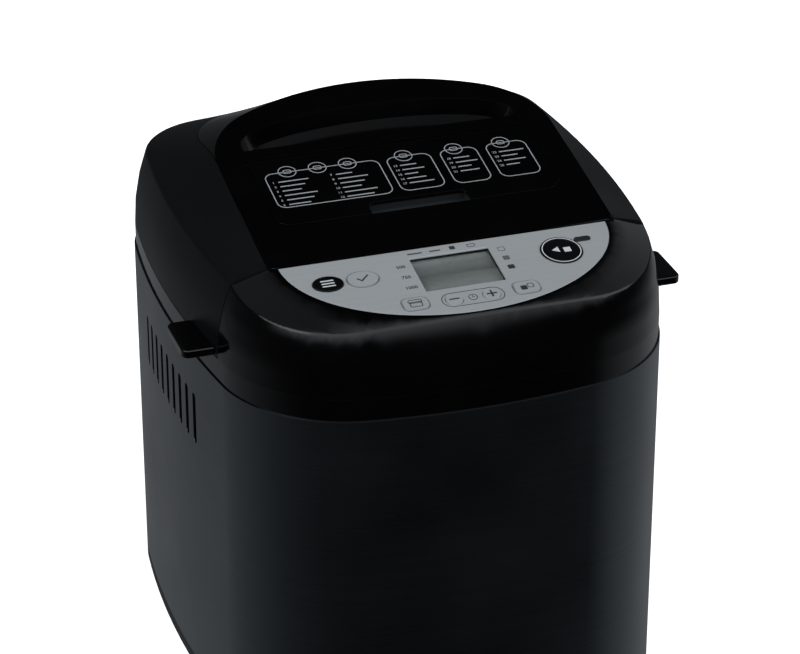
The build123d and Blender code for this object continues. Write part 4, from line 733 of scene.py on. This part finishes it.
@dataclass
class Dispenser:
    """Ingredient dispenser in the lid: printed flap, box and trapdoor."""

    flap_edge: float = 0.4
    box_edge: float = 0.3
    proud: float = 0.015
    frames: tuple[tuple[float, float, int], ...] = (
        (-73.5, -10.0, 6),
        (-6.0, 19.0, 5),
        (24.0, 45.0, 4),
        (50.0, 73.0, 4),
    )
    frame_low: float = 48.8
    frame_high: float = 80.3
    frame_corner: float = 5.0
    frame_line: float = 0.55
    badges: tuple[float, ...] = (-60.1, -43.4, -26.7, 4.6, 33.0, 59.8)
    badge_radius: float = 5.0
    badge_line: float = 0.5
    inset: float = 3.5
    first_row: float = 8.4
    row_pitch: float = 4.1
    row_height: float = 1.7
    bar_gap: float = 2.6
    bar_height: float = 0.8

    def build(self) -> None:
        """Dresses the dispenser and prints its flap."""
        soften("dispenser_flap", GLOSS_ABS, self.flap_edge)
        soften("dispenser_box", BASE_ABS, self.box_edge)
        soften("dispenser_trapdoor", BASE_ABS, self.box_edge)
        self.print_flap()

    def print_flap(self) -> None:
        """Prints the framed lists: numbered rows with plain bars in place of words."""
        sheet = PrintedSheet("flap_print", "flap", WHITE_INK, self.proud)
        number = 1
        for left, right, rows in self.frames:
            middle, height = (self.frame_low + self.frame_high) / 2, self.frame_high - self.frame_low
            width = right - left
            sheet.frame((left + right) / 2, middle, width, height, self.frame_corner, self.frame_line)
            columns = 2 if width > 40 else 1
            for column in range(columns):
                start = left + self.inset + column * width / 2
                for row in range(rows):
                    v = self.frame_high - self.first_row - row * self.row_pitch
                    sheet.number(str(number), start, v, self.row_height)
                    # Bars of uneven length, as words would be
                    length = 7.5 + (number * 7 % 5) * 1.6 if columns == 1 else 9.0 + (number * 5 % 7) * 1.5
                    length = min(length, width - 8.0)
                    sheet.pad(start + self.bar_gap + length / 2, v, length, self.bar_height, 0.2)
                    number += 1
        for x in self.badges:
            sheet.oval(x, self.frame_high, self.badge_radius, self.badge_radius, self.badge_line, 40)
            sheet.frame(x, self.frame_high, 4.6, 3.4, 1.2, self.badge_line)
        sheet.lay()


@dataclass
class BakingSpace:
    """Chamber, heater, sensors and the pan with its paddle and handle."""

    edge: float = 0.3

    def build(self) -> None:
        """Dresses the inside of the machine."""
        soften("baking_chamber", SHEET_STEEL, 0.0)
        soften("heating_element", HEATER_TUBE, 0.0)
        dress("element_insulators", CERAMIC)
        dress("element_supports", SHEET_STEEL)
        dress("temperature_sensor", TURNED_STEEL)
        dress("thermal_cutout", DARK_NYLON)
        soften("pan_seat", CAST_ALLOY, self.edge)
        soften("bread_pan", PAN_COATING, self.edge)
        soften("pan_handle", TURNED_STEEL, 0.0)
        dress("pan_bush", SINTERED_BRONZE)
        dress("pan_shaft", TURNED_STEEL)
        dress("pan_coupling", CAST_ALLOY)
        soften("kneading_paddle", PAN_COATING, self.edge)


@dataclass
class Drive:
    """Motor, belt drive and boards under and in front of the chamber."""

    finishes: tuple[tuple[str, Finish], ...] = (
        ("chassis_plate", SHEET_STEEL),
        ("bearing_housing", CAST_ALLOY),
        ("drive_bushes", SINTERED_BRONZE),
        ("drive_shaft", TURNED_STEEL),
        ("large_pulley", DARK_NYLON),
        ("motor_pulley", TURNED_STEEL),
        ("drive_belt", RUBBER),
        ("drive_coupling", CAST_ALLOY),
        ("motor_body", TURNED_STEEL),
        ("motor_rotor", TURNED_STEEL),
        ("cooling_fan", DARK_NYLON),
        ("power_board", CIRCUIT_BOARD),
        ("power_components", DARK_NYLON),
    )

    def build(self) -> None:
        """Dresses the drive's solids."""
        for node, finish in self.finishes:
            dress(node, finish)


@dataclass(frozen=True)
class Glow:
    """Soft patch of light in the surroundings, fading in along two directions."""

    strength: float
    first: tuple[str, float, float]
    second: tuple[str, float, float]


@dataclass
class Studio:
    """Camera at the photograph's angle, pale floor, one soft light and glowing surroundings."""

    target: tuple[float, float, float] = (0.003194, 0.002954, 0.183719)
    back: tuple[float, float, float] = (-0.28122, -0.84152, 0.46131)
    right: tuple[float, float, float] = (0.94845, -0.31695, 0.0)
    up: tuple[float, float, float] = (0.14621, 0.43753, 0.88727)
    distance: float = 1.725
    lens: float = 141.26
    floor_size: float = 12.0
    ambient: float = 0.01
    glows: tuple[Glow, ...] = (
        Glow(0.045, ("Y", -0.7, 0.7), ("Z", 0.62, 0.30)),
        Glow(0.17, ("Y", -0.7, 0.7), ("Z", -0.12, -0.52)),
        Glow(1.25, ("Y", 0.05, -0.30), ("Z", -0.07, 0.18)),
        Glow(0.35, ("X", 0.35, 0.80), ("Z", 0.05, 0.30)),
        Glow(0.20, ("X", 0.50, 0.90), ("Z", -0.20, -0.45)),
        Glow(0.20, ("X", 0.10, -0.35), ("Z", 0.45, 0.75)),
    )

    def build(self) -> None:
        """Sets up the camera, floor, lights and surroundings."""
        self.camera()
        self.floor()
        self.lights()
        self.surroundings()

    def camera(self) -> None:
        """Makes the camera and sets it as the scene's own."""
        data = bpy.data.cameras.new("camera")
        data.lens = self.lens
        data.sensor_width = 36.0
        data.clip_end = 50.0
        camera = bpy.data.objects.new("camera", data)
        bpy.context.scene.collection.objects.link(camera)
        place = Vector(self.target) + Vector(self.back) * self.distance
        turn = Matrix((self.right, self.up, self.back)).transposed().to_4x4()
        camera.matrix_world = Matrix.Translation(place) @ turn
        bpy.context.scene.camera = camera

    def floor(self) -> None:
        """Lays a pale floor that does not show in reflections."""
        shape = bmesh.new()
        bmesh.ops.create_grid(shape, x_segments=1, y_segments=1, size=self.floor_size / 2)
        mesh = bpy.data.meshes.new("floor")
        shape.to_mesh(mesh)
        shape.free()
        pale = bpy.data.materials.new("pale_floor")
        pale.use_nodes = True
        shader = pale.node_tree.nodes["Principled BSDF"]
        shader.inputs["Base Color"].default_value = linear("#f4f4f4")
        shader.inputs["Roughness"].default_value = 0.9
        shader.inputs["Emission Color"].default_value = (1, 1, 1, 1)
        shader.inputs["Emission Strength"].default_value = 0.9
        mesh.materials.append(pale)
        floor = bpy.data.objects.new("floor", mesh)
        bpy.context.scene.collection.objects.link(floor)
        floor.visible_glossy = False
        floor.visible_diffuse = False

    def lamp(
        self,
        name: str,
        place: tuple[float, float, float],
        aim: tuple[float, float, float],
        size: tuple[float, float],
        power: float,
    ) -> None:
        """Hangs a rectangular soft light.

        Args:
            name: the light's name.
            place: where it hangs, in metres.
            aim: the point that it faces.
            size: width and height in metres.
            power: watts.
        """
        data = bpy.data.lights.new(name, "AREA")
        data.shape = "RECTANGLE"
        data.size, data.size_y = size
        data.energy = power
        light = bpy.data.objects.new(name, data)
        bpy.context.scene.collection.objects.link(light)
        light.location = place
        light.rotation_euler = (Vector(aim) - Vector(place)).to_track_quat("-Z", "Y").to_euler()

    def lights(self) -> None:
        """Hangs the soft light."""
        self.lamp("overhead_soft_light", (-1.5, -0.5, 1.1), (0, 0, 0.25), (1.2, 1.0), 5.0)

    def surroundings(self) -> None:
        """Makes the surroundings pale to look at, and dark with soft glows as light."""
        world = bpy.data.worlds.new("studio")
        world.use_nodes = True
        tree = world.node_tree
        tree.nodes.clear()
        path = add_node(tree, "ShaderNodeLightPath")
        way = add_node(tree, "ShaderNodeTexCoord")
        axes = add_node(tree, "ShaderNodeSeparateXYZ", None, {0: way.outputs["Generated"]})
        level = self.ambient
        for glow in self.glows:
            fades = [
                add_node(
                    tree,
                    "ShaderNodeMapRange",
                    {"interpolation_type": "SMOOTHSTEP"},
                    {"Value": axes.outputs[axis], "From Min": start, "From Max": end},
                ).outputs["Result"]
                for axis, start, end in (glow.first, glow.second)
            ]
            both = add_node(tree, "ShaderNodeMath", {"operation": "MULTIPLY"}, dict(enumerate(fades)))
            level = add_node(
                tree,
                "ShaderNodeMath",
                {"operation": "MULTIPLY_ADD"},
                {0: both.outputs["Value"], 1: glow.strength, 2: level},
            ).outputs["Value"]
        dim = add_node(tree, "ShaderNodeBackground", None, {"Color": linear("#edf2f6"), "Strength": level})
        pale = add_node(tree, "ShaderNodeBackground", None, {"Color": (1, 1, 1, 1), "Strength": 1.0})
        mix = add_node(
            tree,
            "ShaderNodeMixShader",
            None,
            {0: path.outputs["Is Camera Ray"], 1: dim.outputs["Background"], 2: pale.outputs["Background"]},
        )
        add_node(tree, "ShaderNodeOutputWorld", None, {"Surface": mix.outputs["Shader"]})
        bpy.context.scene.world = world


def main() -> None:
    """Builds the studio and dresses each sub-assembly in order."""
    logging.basicConfig(level=logging.INFO, format="%(name)s: %(message)s")
    bpy.context.scene.view_settings.view_transform = "Standard"
    for assembly in (Studio(), Casing(), ControlPanel(), Lid(), Dispenser(), BakingSpace(), Drive()):
        assembly.build()


if __name__ == "__main__":
    main()
